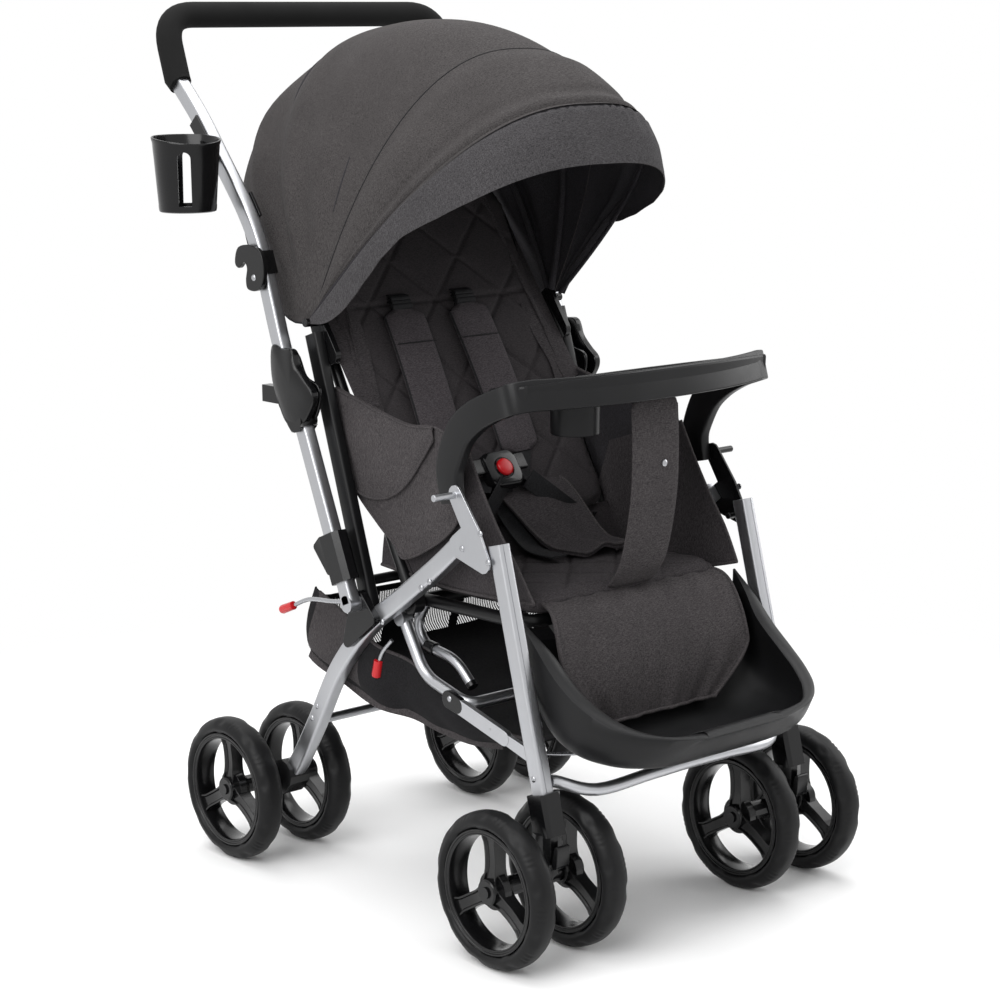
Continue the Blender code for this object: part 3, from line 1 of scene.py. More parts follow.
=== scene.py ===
"""The reversible stroller's looks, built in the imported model's own frame.

Metres, +Z up, the stroller's front towards -Y. Numbers repeat those of the part's source.
"""

import math

import bmesh
import bpy
import numpy as np
from mathutils import Matrix, Vector


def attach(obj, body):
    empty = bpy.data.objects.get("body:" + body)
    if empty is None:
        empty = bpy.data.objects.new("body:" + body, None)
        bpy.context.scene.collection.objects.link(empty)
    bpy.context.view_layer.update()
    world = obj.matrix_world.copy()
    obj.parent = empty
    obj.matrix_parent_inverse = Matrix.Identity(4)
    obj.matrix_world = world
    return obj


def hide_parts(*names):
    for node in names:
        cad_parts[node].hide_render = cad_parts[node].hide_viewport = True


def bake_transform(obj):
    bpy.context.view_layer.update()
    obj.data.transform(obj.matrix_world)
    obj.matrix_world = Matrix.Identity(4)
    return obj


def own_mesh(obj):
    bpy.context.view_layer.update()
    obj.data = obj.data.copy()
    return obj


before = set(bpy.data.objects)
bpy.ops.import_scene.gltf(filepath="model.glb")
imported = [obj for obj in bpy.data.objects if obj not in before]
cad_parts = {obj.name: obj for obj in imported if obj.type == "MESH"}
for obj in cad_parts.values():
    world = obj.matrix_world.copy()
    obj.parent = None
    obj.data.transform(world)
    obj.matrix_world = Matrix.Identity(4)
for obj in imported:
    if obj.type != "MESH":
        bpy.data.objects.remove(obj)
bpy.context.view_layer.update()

# The part's source measures from the axles' middle; this shift takes its places into the frame
SHIFT = Vector((0.03075, -0.01198, 0))
X_AXIS, Y_AXIS, Z_AXIS = Vector((1, 0, 0)), Vector((0, 1, 0)), Vector((0, 0, 1))
MM = 0.001
SIDES = {"left": 1, "right": -1}


# Materials

NOISE_LOW, NOISE_HIGH = 0.3, 0.7


def colour(code):
    """Linear colour of an sRGB hex code."""
    parts = [int(code[i : i + 2], 16) / 255 for i in (1, 3, 5)]
    return (*[v / 12.92 if v <= 0.04045 else ((v + 0.055) / 1.055) ** 2.4 for v in parts], 1)


def add(tree, kind, inputs=(), **settings):
    """Adds a node. Settings go on the node; inputs are values or sockets, by name or number."""
    made = tree.nodes.new(kind)
    for name, value in settings.items():
        setattr(made, name, value)
    for name, value in dict(inputs).items():
        if isinstance(value, bpy.types.NodeSocket):
            tree.links.new(value, made.inputs[name])
        else:
            made.inputs[name].default_value = value
    return made


def computed(tree, operation, first, second):
    return add(tree, "ShaderNodeMath", {0: first, 1: second}, operation=operation).outputs[0]


def new_material(name):
    made = bpy.data.materials.new(name)
    made.use_nodes = True
    made.node_tree.nodes.clear()
    return made, made.node_tree


def surface(tree, shader):
    add(tree, "ShaderNodeOutputMaterial", {"Surface": shader})


def principled(tree, inputs):
    return add(tree, "ShaderNodeBsdfPrincipled", inputs).outputs[0]


def grain(tree, size, stretch=(1, 1, 1), detail=3):
    """Noise whose lumps are about one size across, in metres, on the piece's own coordinates."""
    place = add(tree, "ShaderNodeTexCoord").outputs["Object"]
    scaled = add(tree, "ShaderNodeMapping", {"Vector": place, "Scale": [1 / (size * s) for s in stretch]})
    noise = {"Vector": scaled.outputs[0], "Scale": 1.0, "Detail": detail, "Roughness": 0.6}
    return add(tree, "ShaderNodeTexNoise", noise).outputs["Fac"]


def mapped(tree, value, start, end, low, high, **settings):
    """A number that runs from low to high while another runs from start to end."""
    inputs = {"Value": value, "From Min": start, "From Max": end, "To Min": low, "To Max": high}
    return add(tree, "ShaderNodeMapRange", inputs, **settings).outputs[0]


def spread(tree, value, low, high):
    """A number that follows a noise from low to high over the noise's middle range."""
    return mapped(tree, value, NOISE_LOW, NOISE_HIGH, low, high)


def blend_colours(tree, factor, first, second):
    return add(tree, "ShaderNodeMix", {0: factor, 6: first, 7: second}, data_type="RGBA").outputs[2]


def relief(tree, height, depth):
    """A bump whose full range is so many metres deep."""
    return add(tree, "ShaderNodeBump", {"Height": height, "Distance": depth}).outputs[0]


def drawn_aluminium(name, code, rough):
    """Drawn and satin anodised tube: long fine die lines, so its highlights run lengthwise."""
    made, tree = new_material(name)
    lines = grain(tree, 1.2 * MM, (1, 1, 40))
    cloud = spread(tree, grain(tree, 60 * MM), 0, 0.3)
    inputs = {"Base Color": blend_colours(tree, cloud, colour(code), colour("#a3a5a9")), "Metallic": 1.0}
    inputs["Roughness"] = spread(tree, lines, rough - 0.05, rough + 0.07)
    inputs["Normal"] = relief(tree, lines, 0.012 * MM)
    surface(tree, principled(tree, inputs))
    return made


def moulded(name, code, rough, size, depth, wear, shine):
    """Injection moulded plastic: spark eroded grain of one size, and a paler bloom where it is handled."""
    made, tree = new_material(name)
    pores = grain(tree, size, detail=2)
    cloud = grain(tree, 45 * MM)
    tint = blend_colours(tree, spread(tree, cloud, 0, 0.22), colour(code), colour(wear))
    inputs = {"Base Color": tint, "Roughness": spread(tree, cloud, rough - 0.04, rough + 0.06)}
    inputs.update({"Specular IOR Level": shine, "Normal": relief(tree, pores, depth)})
    surface(tree, principled(tree, inputs))
    return made


def woven(name, dark, light, thread, sheen=0.12, depth=0.25, rough=0.9):
    """Plain-woven melange polyester: dark and pale yarns run both ways, so it shows short streaks."""
    made, tree = new_material(name)
    weft = grain(tree, thread, (9, 3, 1.1), 2)
    warp = grain(tree, thread, (1.1, 1.4, 9), 2)
    cloud = grain(tree, 70 * MM, detail=2)
    mixed = computed(tree, "MULTIPLY", computed(tree, "ADD", weft, warp), 0.5)
    tint = blend_colours(tree, mapped(tree, mixed, 0.4, 0.6, 0.0, 1.0), colour(dark), colour(light))
    shaded = blend_colours(tree, spread(tree, cloud, 0, 0.25), tint, colour(dark))
    inputs = {"Base Color": shaded, "Roughness": rough, "Specular IOR Level": 0.15}
    inputs.update({"Sheen Weight": sheen, "Sheen Roughness": 0.4, "Sheen Tint": colour(light)})
    inputs["Normal"] = relief(tree, mixed, depth * MM)
    surface(tree, principled(tree, inputs))
    return made


def netting(name, code, pitch):
    """Open warp-knitted net: fine threads round holes of one pitch, which the ground shows through."""
    made, tree = new_material(name)
    place = add(tree, "ShaderNodeTexCoord").outputs["Object"]
    parts = add(tree, "ShaderNodeSeparateXYZ", {0: place}).outputs
    around = computed(tree, "ADD", parts["X"], parts["Y"])
    flat = add(tree, "ShaderNodeCombineXYZ", {"X": around, "Y": parts["Z"]}).outputs[0]
    turned = add(tree, "ShaderNodeMapping", {"Vector": flat, "Rotation": (0.0, 0.0, math.radians(45))})
    kind = {"feature": "DISTANCE_TO_EDGE", "voronoi_dimensions": "2D"}
    pattern = {"Vector": turned.outputs[0], "Scale": 1 / pitch, "Randomness": 0.0}
    cells = add(tree, "ShaderNodeTexVoronoi", pattern, **kind).outputs["Distance"]
    inputs = {"Base Color": colour(code), "Roughness": 0.8, "Specular IOR Level": 0.2}
    inputs["Alpha"] = mapped(tree, cells, 0.11, 0.17, 1.0, 0.0)
    surface(tree, principled(tree, inputs))
    return made


SILVER = drawn_aluminium("satin_anodised_aluminium", "#b6b7ba", 0.34)
STEEL = drawn_aluminium("zinc_plated_steel", "#a9aaad", 0.26)
BLACK_TUBE = moulded("black_powder_coat", "#0e0e0f", 0.34, 0.8 * MM, 0.02 * MM, "#161617", 0.25)
GLOSS = moulded("gloss_black_polyamide", "#0b0b0c", 0.2, 1.5 * MM, 0.006 * MM, "#131314", 0.32)
SATIN = moulded("satin_dark_polypropylene", "#121213", 0.34, 0.7 * MM, 0.03 * MM, "#18181a", 0.22)
TUB = moulded("textured_black_polypropylene", "#151516", 0.4, 1.1 * MM, 0.09 * MM, "#1d1d1e", 0.2)
RED = moulded("red_soft_vinyl", "#b3121a", 0.32, 2 * MM, 0.01 * MM, "#c42a2a", 0.4)
TYRE = moulded("moulded_eva_foam", "#0d0d0e", 0.44, 0.9 * MM, 0.05 * MM, "#161617", 0.2)
FOAM = moulded("cellular_rubber_foam", "#141414", 0.85, 0.7 * MM, 0.12 * MM, "#1d1d1d", 0.15)
CANOPY = woven("melange_polyester_canopy", "#272525", "#4d4a4a", 0.45 * MM)
SEAT = woven("melange_polyester_seat", "#282627", "#504c4d", 0.45 * MM)
LINING = woven("dark_lining_polyester", "#1c1b1c", "#38363a", 0.3 * MM, 0.15, 0.12)
RIBBON = woven("black_woven_webbing", "#101011", "#2a2a2c", 0.35 * MM, 0.1, 0.2, 0.7)
VISOR = woven("melange_polyester_visor", "#282728", "#4f4d4f", 0.45 * MM)
BACK_CLOTH = woven("smooth_dark_polyester", "#262425", "#3f3b3d", 0.35 * MM, 0.15, 0.12)
SEAT_DARK = woven("dark_melange_seat", "#232122", "#474345", 0.45 * MM)
SHOULDER = woven("melange_shoulder_pad", "#2d2a2c", "#524d50", 0.4 * MM)
BASKET = woven("coated_oxford_polyester", "#131314", "#242325", 0.45 * MM, 0.05, 0.15)
NET = netting("warp_knitted_net", "#1b1b1c", 2.6 * MM)

# The slot that a piece fills, by its first material, unless the piece names another
SLOTS = {
    "silver_tube": (SILVER, STEEL), "black_tube": (BLACK_TUBE,), "black_plastic": (GLOSS,), "red_plastic": (RED,),
    "satin_plastic": (SATIN, TUB), "tyre_foam": (TYRE,), "grip_foam": (FOAM,), "melange_cloth": (CANOPY, SEAT),
    "lining_cloth": (LINING, RIBBON, BACK_CLOTH, SEAT_DARK, SHOULDER, BASKET),
}
SLOT_OF = {material: slot for slot, materials in SLOTS.items() for material in materials}


# Shapes, each a pair (points, faces) in metres from the source's own middle


def joined(*shapes):
    points, faces = [], []
    for some_points, some_faces in shapes:
        base = len(points)
        points += list(some_points)
        faces += [tuple(base + i for i in face) for face in some_faces]
    return points, faces


def flipped(line):
    return [Vector((-p.x, p.y, p.z)) for p in line]


def mirrored(shape):
    return flipped(shape[0]), shape[1]


def grid(rows, around=False, ends=False, closed=False):
    """Faces between rows of points; around closes each row, closed joins the last row to the first."""
    m, n = len(rows[0]), len(rows)
    faces = []
    for j in range(n if closed else n - 1):
        k = (j + 1) % n
        for i in range(m if around else m - 1):
            h = (i + 1) % m
            faces.append((j * m + i, j * m + h, k * m + h, k * m + i))
    if ends:
        faces += [tuple(range(m))[::-1], tuple((n - 1) * m + i for i in range(m))]
    return [p for row in rows for p in row], faces


def prism(rows):
    """A closed body between rows of points that each go round."""
    return grid(rows, around=True, ends=True)


def sheet_rows(count, width, point):
    """Rows of point(i, j), where both shares run from 0 to 1."""
    return [[point(i / (count - 1), j / (width - 1)) for j in range(width)] for i in range(count)]


def curve(points, steps=6, loop=False):
    """Catmull-Rom line through the points."""
    points = [Vector(p) for p in points]
    n = len(points)
    found = []
    for i in range(n if loop else n - 1):
        a, b, c, d = [points[(i + k) % n if loop else min(max(i + k, 0), n - 1)] for k in (-1, 0, 1, 2)]
        for j in range(steps):
            t = j / steps
            square, cube = (2 * a - 5 * b + 4 * c - d) * t**2, (3 * b - a - 3 * c + d) * t**3
            found.append((2 * b + (c - a) * t + square + cube) / 2)
    return found if loop else found + [points[-1].copy()]


def profile(pairs, steps=8, loop=False):
    """The curve through (y, z) pairs."""
    return curve([(0, *p) for p in pairs], steps, loop)


def smoothed(values, steps=8):
    return [p.x for p in curve([(v, 0, 0) for v in values], steps)]


def rounded(points, reach, steps=8, loop=False):
    """The line with each corner turned into an arc that starts so far from it."""
    points = [Vector(p) for p in points]
    n = len(points)
    found = [] if loop else [points[0]]
    for i in range(n) if loop else range(1, n - 1):
        before, corner, after = points[i - 1], points[i], points[(i + 1) % n]
        near = min(reach, (before - corner).length / 2.01, (after - corner).length / 2.01)
        start = corner + (before - corner).normalized() * near
        end = corner + (after - corner).normalized() * near
        for j in range(steps + 1):
            t = j / steps
            found.append(start * (1 - t) ** 2 + corner * 2 * t * (1 - t) + end * t**2)
    return found if loop else found + [points[-1]]


def lengths_of(line):
    """How far each point of a line is along it."""
    found = [0.0]
    for a, b in zip(line, line[1:]):
        found.append(found[-1] + (b - a).length)
    return found


def evenly(line, count):
    """The line's points at even steps of its length."""
    lengths = lengths_of(line)
    found, k = [], 0
    for i in range(count):
        far = lengths[-1] * i / (count - 1)
        while k < len(line) - 2 and lengths[k + 1] < far:
            k += 1
        share = (far - lengths[k]) / max(lengths[k + 1] - lengths[k], 1e-9)
        found.append(line[k].lerp(line[k + 1], min(1.0, share)))
    return found


def side_line(line, x):
    """A line of (y, z) pairs set at x."""
    return [Vector((x, y, z)) for y, z in line]


def disc(radius, steps=20):
    turns = [2 * math.pi * i / steps for i in range(steps)]
    return [(radius * math.cos(turn), radius * math.sin(turn)) for turn in turns]


def box(width, depth, corner=0.004, steps=4):
    w, d = width / 2, depth / 2
    corners = [Vector(p) for p in ((w, d), (-w, d), (-w, -d), (w, -d))]
    return [tuple(p) for p in rounded(corners, corner, steps, True)]


def squared(value, power):
    """A cosine or sine that makes a rounded square of a circle."""
    return math.copysign(abs(value) ** power, value)


def stations(line, side=None):
    """(centre, across, up) along a line; across starts near side and turns with the line."""
    found = []
    across = Vector(side) if side else None
    for i, centre in enumerate(line):
        ahead = (line[min(i + 1, len(line) - 1)] - line[max(i - 1, 0)]).normalized()
        if across is None:
            across = ahead.orthogonal()
        across = (across - ahead * across.dot(ahead)).normalized()
        found.append((centre, across, across.cross(ahead)))
    return found


def sweep(line, section, side=None, scale=None):
    rows = []
    for i, (centre, across, up) in enumerate(stations(line, side)):
        size = scale(i / (len(line) - 1)) if scale else 1
        rows.append([centre + across * u * size + up * v * size for u, v in section])
    return prism(rows)


def tube(line, radius, steps=18):
    return sweep([Vector(p) for p in line], disc(radius, steps))


def lathe(outline, centre, axis=X_AXIS, steps=48, loop=False):
    """Turns (along, radius) points about an axis; loop joins the last point to the first."""
    axis = Vector(axis).normalized()
    across = (Z_AXIS if abs(axis.z) < 0.9 else X_AXIS).cross(axis).normalized()
    other = axis.cross(across)
    rows = []
    for c, s in disc(1, steps):
        out = across * c + other * s
        rows.append([Vector(centre) + axis * a + out * r for a, r in outline])
    points, faces = grid(rows, around=loop, closed=True)
    m = len(outline)
    for i in () if loop else (0, m - 1):
        if outline[i][1] > 1e-6:
            faces.append(tuple(j * m + i for j in range(steps)))
    return points, faces


def plate(outline, x_low, x_high):
    """A (y, z) outline carried from one x to another."""
    return prism([[Vector((x, p[0], p[1])) for p in outline] for x in (x_low, x_high)])


def slab(outline, z_low, z_high):
    """An (x, y) outline carried from one height to another."""
    return prism([[Vector((p[0], p[1], z)) for p in outline] for z in (z_low, z_high)])


def hull(circles, steps=28):
    """The outline round some circles (y, z, radius)."""
    spots = sorted({(y + a, z + b) for y, z, r in circles for a, b in disc(r, steps)})
    found = []
    for order in (spots, spots[::-1]):
        chain = []
        for p in order:
            while len(chain) > 1:
                (a, b), (c, d) = chain[-2:]
                if (c - a) * (p[1] - b) > (d - b) * (p[0] - a):
                    break
                chain.pop()
            chain.append(p)
        found += chain[:-1]
    return found


def along(start, end, distance):
    start, end = Vector(start), Vector(end)
    return start + (end - start).normalized() * distance


def ease(value, low, high):
    t = min(1.0, max(0.0, (value - low) / (high - low)))
    return t * t * (3 - 2 * t)


def bump(value, middle, half):
    """1 at the middle, easing to 0 at half away."""
    t = max(0.0, 1 - abs(value - middle) / half)
    return t * t * (3 - 2 * t)


def bell(value, middle, width):
    return math.exp(-(((value - middle) / width) ** 2))


# Pieces


def shade(mesh, angle):
    for polygon in mesh.polygons:
        polygon.use_smooth = True
    mesh.set_sharp_from_angle(angle=math.radians(angle))


def mesh_of(name, shape, offset=Vector()):
    mesh = bpy.data.meshes.new(name)
    mesh.from_pydata([tuple(p + offset) for p in shape[0]], [], shape[1])
    return mesh


def cleaned(mesh, merge=1e-6, flat=0.0):
    """Joins doubled points and flat faces, and turns all faces outwards."""
    work = bmesh.new()
    work.from_mesh(mesh)
    if merge:
        bmesh.ops.remove_doubles(work, verts=work.verts, dist=merge)
    if flat:
        bmesh.ops.dissolve_limit(work, angle_limit=math.radians(flat), verts=work.verts, edges=work.edges)
    bmesh.ops.recalc_face_normals(work, faces=work.faces)
    work.to_mesh(mesh)
    work.free()
    return mesh


def linked(name, mesh):
    made = bpy.data.objects.new(name, mesh)
    bpy.context.scene.collection.objects.link(made)
    return made


def soften(made, width):
    """Small rounded edges, as a mould leaves them."""
    edges = made.modifiers.new("edges", "BEVEL")
    edges.width = width
    edges.segments = 2
    edges.limit_method = "ANGLE"
    edges.angle_limit = math.radians(28)
    edges.harden_normals = True


def dressed(made, materials, body, nodes, bevel, angle, slot):
    """Gives an object its materials, edges, shading, body and nodes; the slot is not used."""
    for one in materials:
        made.data.materials.append(one)
    if bevel:
        soften(made, bevel)
    shade(made.data, angle)
    if body:
        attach(made, body)
    if nodes:
        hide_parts(*nodes)
    slot or SLOT_OF[materials[0]]
    return made


def piece(name, shape, material, body, nodes=(), bevel=0.0, angle=35, slot=None, marks=None):
    """Makes one finished piece at the origin, riding a body and standing for some nodes.

    marks gives each face the number of its material; a piece without a body isn't set to ride.
    """
    mesh = mesh_of(name, shape, SHIFT)
    if marks:
        mesh.polygons.foreach_set("material_index", marks)
    made = linked(name, cleaned(mesh))
    materials = material if isinstance(material, list) else [material]
    return dressed(made, materials, body, nodes, bevel, angle, slot)


def refined(node, material, body, slot):
    """A node's own shape with its flat faces joined, edges softened and a better material."""
    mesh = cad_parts[node].data.copy()
    mesh.name = f"fine_{node}"
    mesh.materials.clear()
    made = linked(f"fine_{node}", cleaned(mesh, 2e-5, 1.5))
    return dressed(made, [material], body, [node], 0.0007, 38, slot)


def both_sides(name, shape, material, body, nodes=None, **more):
    """The left piece and its mirror image; body and nodes may name the side."""
    for side, sign in SIDES.items():
        own = shape if sign > 0 else mirrored(shape)
        stands = [nodes.format(side=side)] if nodes else []
        piece(f"{name}_{side}", own, material, body.format(side=side), stands, **more)


def settled_mesh(made):
    """The mesh that an object's modifiers make."""
    bpy.context.view_layer.update()
    return bpy.data.meshes.new_from_object(made.evaluated_get(bpy.context.evaluated_depsgraph_get()))


def settle_mesh(made):
    """Turns what the modifiers make into the object's own mesh."""
    final = settled_mesh(made)
    made.modifiers.clear()
    made.data = final


def solved(operation, *shapes):
    """The first shape united with or cut by the others."""
    made = [linked("part", cleaned(mesh_of("part", shape))) for shape in shapes]
    for other in made[1:]:
        step = made[0].modifiers.new("solve", "BOOLEAN")
        step.operation = operation
        step.solver = "EXACT"
        step.object = other
    mesh = settled_mesh(made[0])
    found = [v.co.copy() for v in mesh.vertices], [tuple(f.vertices) for f in mesh.polygons]
    for part in made:
        bpy.data.objects.remove(part)
    return found


def lined(i, j):
    """The kinds of a sheet of one cloth with another for its lining."""
    return 1 if i < 0 else 0


def cloth_shell(rows, wall, outward, kinds=lambda i, j: 0, lift=lambda i, j: 0.0, see_through=None):
    """A sheet with its lining: each point moved out by lift(i, j), and the wall set inside it.

    outward is a point that the sheet faces away from. Returns the shape and each face's kind:
    kinds(i, j) outside and kinds(-1, 0) inside, except where it is see_through on both.
    """
    n, m = len(rows), len(rows[0])
    middle = Vector(outward)
    outer, inner = [], []
    for i in range(n):
        for j in range(m):
            down = rows[min(i + 1, n - 1)][j] - rows[max(i - 1, 0)][j]
            over = rows[i][min(j + 1, m - 1)] - rows[i][max(j - 1, 0)]
            normal = over.cross(down).normalized()
            if normal.dot(rows[i][j] - middle) < 0:
                normal = -normal
            point = rows[i][j] + normal * lift(i, j)
            outer.append(point)
            inner.append(point - normal * wall)
    base = n * m
    faces, marks = [], []
    lining = kinds(-1, 0)
    for i in range(n - 1):
        for j in range(m - 1):
            a, b, c, d = i * m + j, i * m + j + 1, (i + 1) * m + j + 1, (i + 1) * m + j
            faces += [(a, b, c, d), (base + d, base + c, base + b, base + a)]
            kind = kinds(i, j)
            marks += [kind, kind if kind == see_through else lining]
    rim = [(i * m + end, (i + 1) * m + end) for end in (0, m - 1) for i in range(n - 1)]
    rim += [(end * m + j, end * m + j + 1) for end in (0, n - 1) for j in range(m - 1)]
    faces += [(a, b, base + b, base + a) for a, b in rim]
    return (outer + inner, faces), marks + [kinds(0, 0)] * len(rim)


def border_of(rows):
    """The line round a sheet, but for its first row."""
    return [row[0] for row in rows] + rows[-1][1:-1] + [row[-1] for row in rows[::-1]]


def repeated(name, unit, places, material, body):
    """The same small shape at many places, by Geometry Nodes: places are (point, out, along)."""
    seed = linked(f"{name}_unit", mesh_of(f"{name}_unit", unit))
    shade(seed.data, 50)
    cloud = bpy.data.meshes.new(name)
    cloud.from_pydata([tuple(Vector(p) + SHIFT) for p, _, _ in places], [], [])
    turns = cloud.attributes.new("turn", "FLOAT_VECTOR", "POINT")
    for i, (_, out, ahead) in enumerate(places):
        out = Vector(out).normalized()
        ahead = (Vector(ahead) - out * Vector(ahead).dot(out)).normalized()
        turns.data[i].vector = Matrix((ahead, out.cross(ahead), out)).transposed().to_euler()
    made = linked(name, cloud)

    tree = bpy.data.node_groups.new(f"{name}_repeat", "GeometryNodeTree")
    kinds = {"Geometry": "Geometry", "Unit": "Object", "Material": "Material"}
    sockets = {
        label: tree.interface.new_socket(label, in_out="INPUT", socket_type=f"NodeSocket{kind}").identifier
        for label, kind in kinds.items()
    }
    tree.interface.new_socket("Geometry", in_out="OUTPUT", socket_type="NodeSocketGeometry")
    inputs = add(tree, "NodeGroupInput").outputs
    unit_in = add(tree, "GeometryNodeObjectInfo", {"Object": inputs["Unit"]}).outputs["Geometry"]
    turn = add(tree, "GeometryNodeInputNamedAttribute", {"Name": "turn"}, data_type="FLOAT_VECTOR")
    euler = add(tree, "FunctionNodeEulerToRotation", {"Euler": turn.outputs["Attribute"]}).outputs[0]
    spots = {"Points": inputs["Geometry"], "Instance": unit_in, "Rotation": euler}
    copies = add(tree, "GeometryNodeInstanceOnPoints", spots).outputs[0]
    real = add(tree, "GeometryNodeRealizeInstances", {"Geometry": copies}).outputs[0]
    painted = add(tree, "GeometryNodeSetMaterial", {"Geometry": real, "Material": inputs["Material"]})
    add(tree, "NodeGroupOutput", {"Geometry": painted.outputs[0]})
    modifier = made.modifiers.new("repeat", "NODES")
    modifier.node_group = tree
    modifier[sockets["Unit"]] = seed
    modifier[sockets["Material"]] = material
    settle_mesh(made)
    bpy.data.objects.remove(seed)
    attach(made, body)


# Wheels

WHEEL_R, RIM_R, BARREL_R, TYRE_BORE_R = 0.0875, 0.0702, 0.0628, 0.0704
LEG_X, TWIN, AXLE_Y = 0.19, 0.052, 0.245
TREAD = [
    (0.0, WHEEL_R), (0.003, 0.0874), (0.006, 0.0871), (0.0085, 0.0864), (0.0108, 0.0852), (0.0128, 0.0835),
    (0.0144, 0.0813), (0.0156, 0.079), (0.0163, 0.0768), (0.0165, 0.0752), (0.0161, 0.0736), (0.015, 0.0722),
    (0.0138, 0.0712), (0.0128, 0.0706),
]
TREAD_GROUPS = 9
FLANGE = [
    (-0.0142, RIM_R - 0.0006), (-0.0146, RIM_R - 0.0014), (-0.0146, 0.0676), (-0.0132, 0.0668),
    (-0.0132, 0.0652), (-0.014, 0.0646), (-0.0138, 0.0634), (-0.012, 0.0626), (-0.004, BARREL_R - 0.0012),
]
HUB = [(-0.014, 0.0052), (-0.014, 0.0128), (-0.0126, 0.0146), (0.0126, 0.0146), (0.014, 0.0128), (0.014, 0.0052)]
WEB = 0.0048
BOSS = [(-WEB, 0.006), (-WEB, 0.0215), (WEB, 0.0215), (WEB, 0.006)]


def tyre_shape(centre):
    """A moulded foam tyre: crowned tread with scoops, groups of slanted bars and a bead step."""
    steps = 320
    rows = []
    for i in range(steps):
        turn = 2 * math.pi * i / steps
        out = Vector((0, math.sin(turn), math.cos(turn)))
        row = []
        for a, r in [(-a, r) for a, r in TREAD[:0:-1]] + TREAD:
            part = (turn / (2 * math.pi) * TREAD_GROUPS + (0.5 if a < 0 else 0)) % 1
            bars = max(bump(part, middle + abs(a) * 6, 0.035) for middle in (0.02, 0.12, 0.22))
            scoop = bump(part, 0.66, 0.2) * bump(abs(a), 0.0118, 0.0052)
            deep = 0.0013 * bars * bump(abs(a), 0.0105, 0.0055) + 0.0024 * scoop
            row.append(centre + X_AXIS * a * (1 - deep * 12) + out * (r - deep))
        rows.append(row + [centre + X_AXIS * a + out * TYRE_BORE_R for a in (0.0122, -0.0122)])
    return grid(rows, around=True, closed=True)


def spoke_shape(centre):
    """Three spokes with raised edges that flare into the hub and the barrel, on one face and its back."""
    parts = []
    for i in range(3):
        turn = Matrix.Rotation(2 * math.pi * i / 3, 4, "X")
        rows = []
        for j in range(13):
            t = j / 12
            out = 0.004 + 0.0606 * t
            rim = 0.0085 + 0.003 * (1 - ease(t, 0, 0.35)) + 0.003 * ease(t, 0.8, 1)
            dish = 0.011 - 0.0032 * math.sin(math.pi * min(1, t * 1.05))
            low = dish - 0.0026
            face = [(-rim, dish), (-rim + 0.0022, dish), (-rim + 0.0036, low)]
            face += [(rim - 0.0036, low), (rim - 0.0022, dish), (rim, dish)]
            section = face + [(y, -x) for y, x in face[::-1]]
            rows.append([centre + turn @ Vector((x, y, out)) for y, x in section])
        parts.append(prism(rows))
    return joined(*parts)


def rim_shape(centre):
    outline = FLANGE + [(-a, r) for a, r in FLANGE[::-1]] + [(0.0115, RIM_R), (-0.0115, RIM_R)]
    ring = lathe(outline, centre, steps=96, loop=True)
    hub, boss = (lathe(one, centre, steps=36, loop=True) for one in (HUB, BOSS))
    return joined(ring, hub, boss, spoke_shape(centre))


for side, sign in SIDES.items():
    for end, y in (("front", -AXLE_Y), ("rear", AXLE_Y)):
        for place, shift in (("inner", -TWIN), ("outer", TWIN)):
            name = f"{end}_{place}_{side}"
            centre = Vector((sign * (LEG_X + shift), y, WHEEL_R))
            piece(f"fine_tyre_{name}", tyre_shape(centre), TYRE, f"wheel_{name}", [f"tyre_{name}"], angle=50)
            piece(f"fine_rim_{name}", rim_shape(centre), GLOSS, f"wheel_{name}", [f"rim_{name}"], 0.0004, 32)


# Tubes and moulded fittings of the frame

FRONT_LEG = [(-0.1945, 0.452), (-0.2742, 0.15)]
REAR_LEG = [
    (-0.145, 0.454), (-0.093, 0.412), (-0.021, 0.36), (0.035, 0.321), (0.094, 0.258), (0.139, 0.185), (0.178, 0.126),
    (0.205, 0.098),
]
CROSS_BOW = [(0.1812, -0.262, 0.1985), (0.1712, -0.262, 0.1985), (0.135, -0.29, 0.188), (0.06, -0.2965, 0.1915),
             (0, -0.2985, 0.1935)]
HANDLE_X, HANDLE_PIVOT, KNUCKLE = 0.2155, (0.036, 0.351), (0.133, 0.58)
HANDLE_LINE = [(0.159, 0.636), (0.187, 0.717), (0.203, 0.757), (0.229, 0.797), (0.272, 0.848), (0.313, 0.896),
               (0.36, 0.941)]
GRIP_X, GRIP_BAR = 0.21, (0.3945, 1.0175)
UPRIGHT_X, HOOD_PIVOT = 0.19, (0.135, 0.665)
FOLD_KNEE, FOLD_TOE = (-0.094, 0.257), (-0.25, 0.2165)
STAY = [(-0.015, 0.354), (0.006, 0.322), (-0.008, 0.298), (-0.064, 0.291), (-0.093, 0.265)]
STAY_X = 0.143
RAIL_END = (-0.015, 0.354)


def grooved(width, depth, at):
    """A box section with a fine groove down its front face."""
    points = box(width, depth)
    cut = len(points) * 3 // 4
    front = -depth / 2
    notch = [(at - 0.0005, front), (at - 0.0002, front + 0.0007), (at + 0.0002, front + 0.0007), (at + 0.0005, front)]
    return points[:cut] + notch + points[cut:]


def there_and_back(half):
    """A line and its mirror image, as one."""
    return half + flipped(half[::-1])


def handle_line():
    side = curve(side_line([KNUCKLE] + HANDLE_LINE, HANDLE_X), 5)
    corner, far = Vector((GRIP_X, *GRIP_BAR)), Vector((-GRIP_X, *GRIP_BAR))
    other = flipped(side[::-1])
    return side[:-1] + rounded([side[-1], corner, far, other[0]], 0.055, 10) + other[1:]


def handle_part(low, high, y_high):
    """The points of the handle's right side between two heights."""
    return [p for p in handle_line() if p.x < -0.2 and low <= p.z <= high and p.y < y_high]


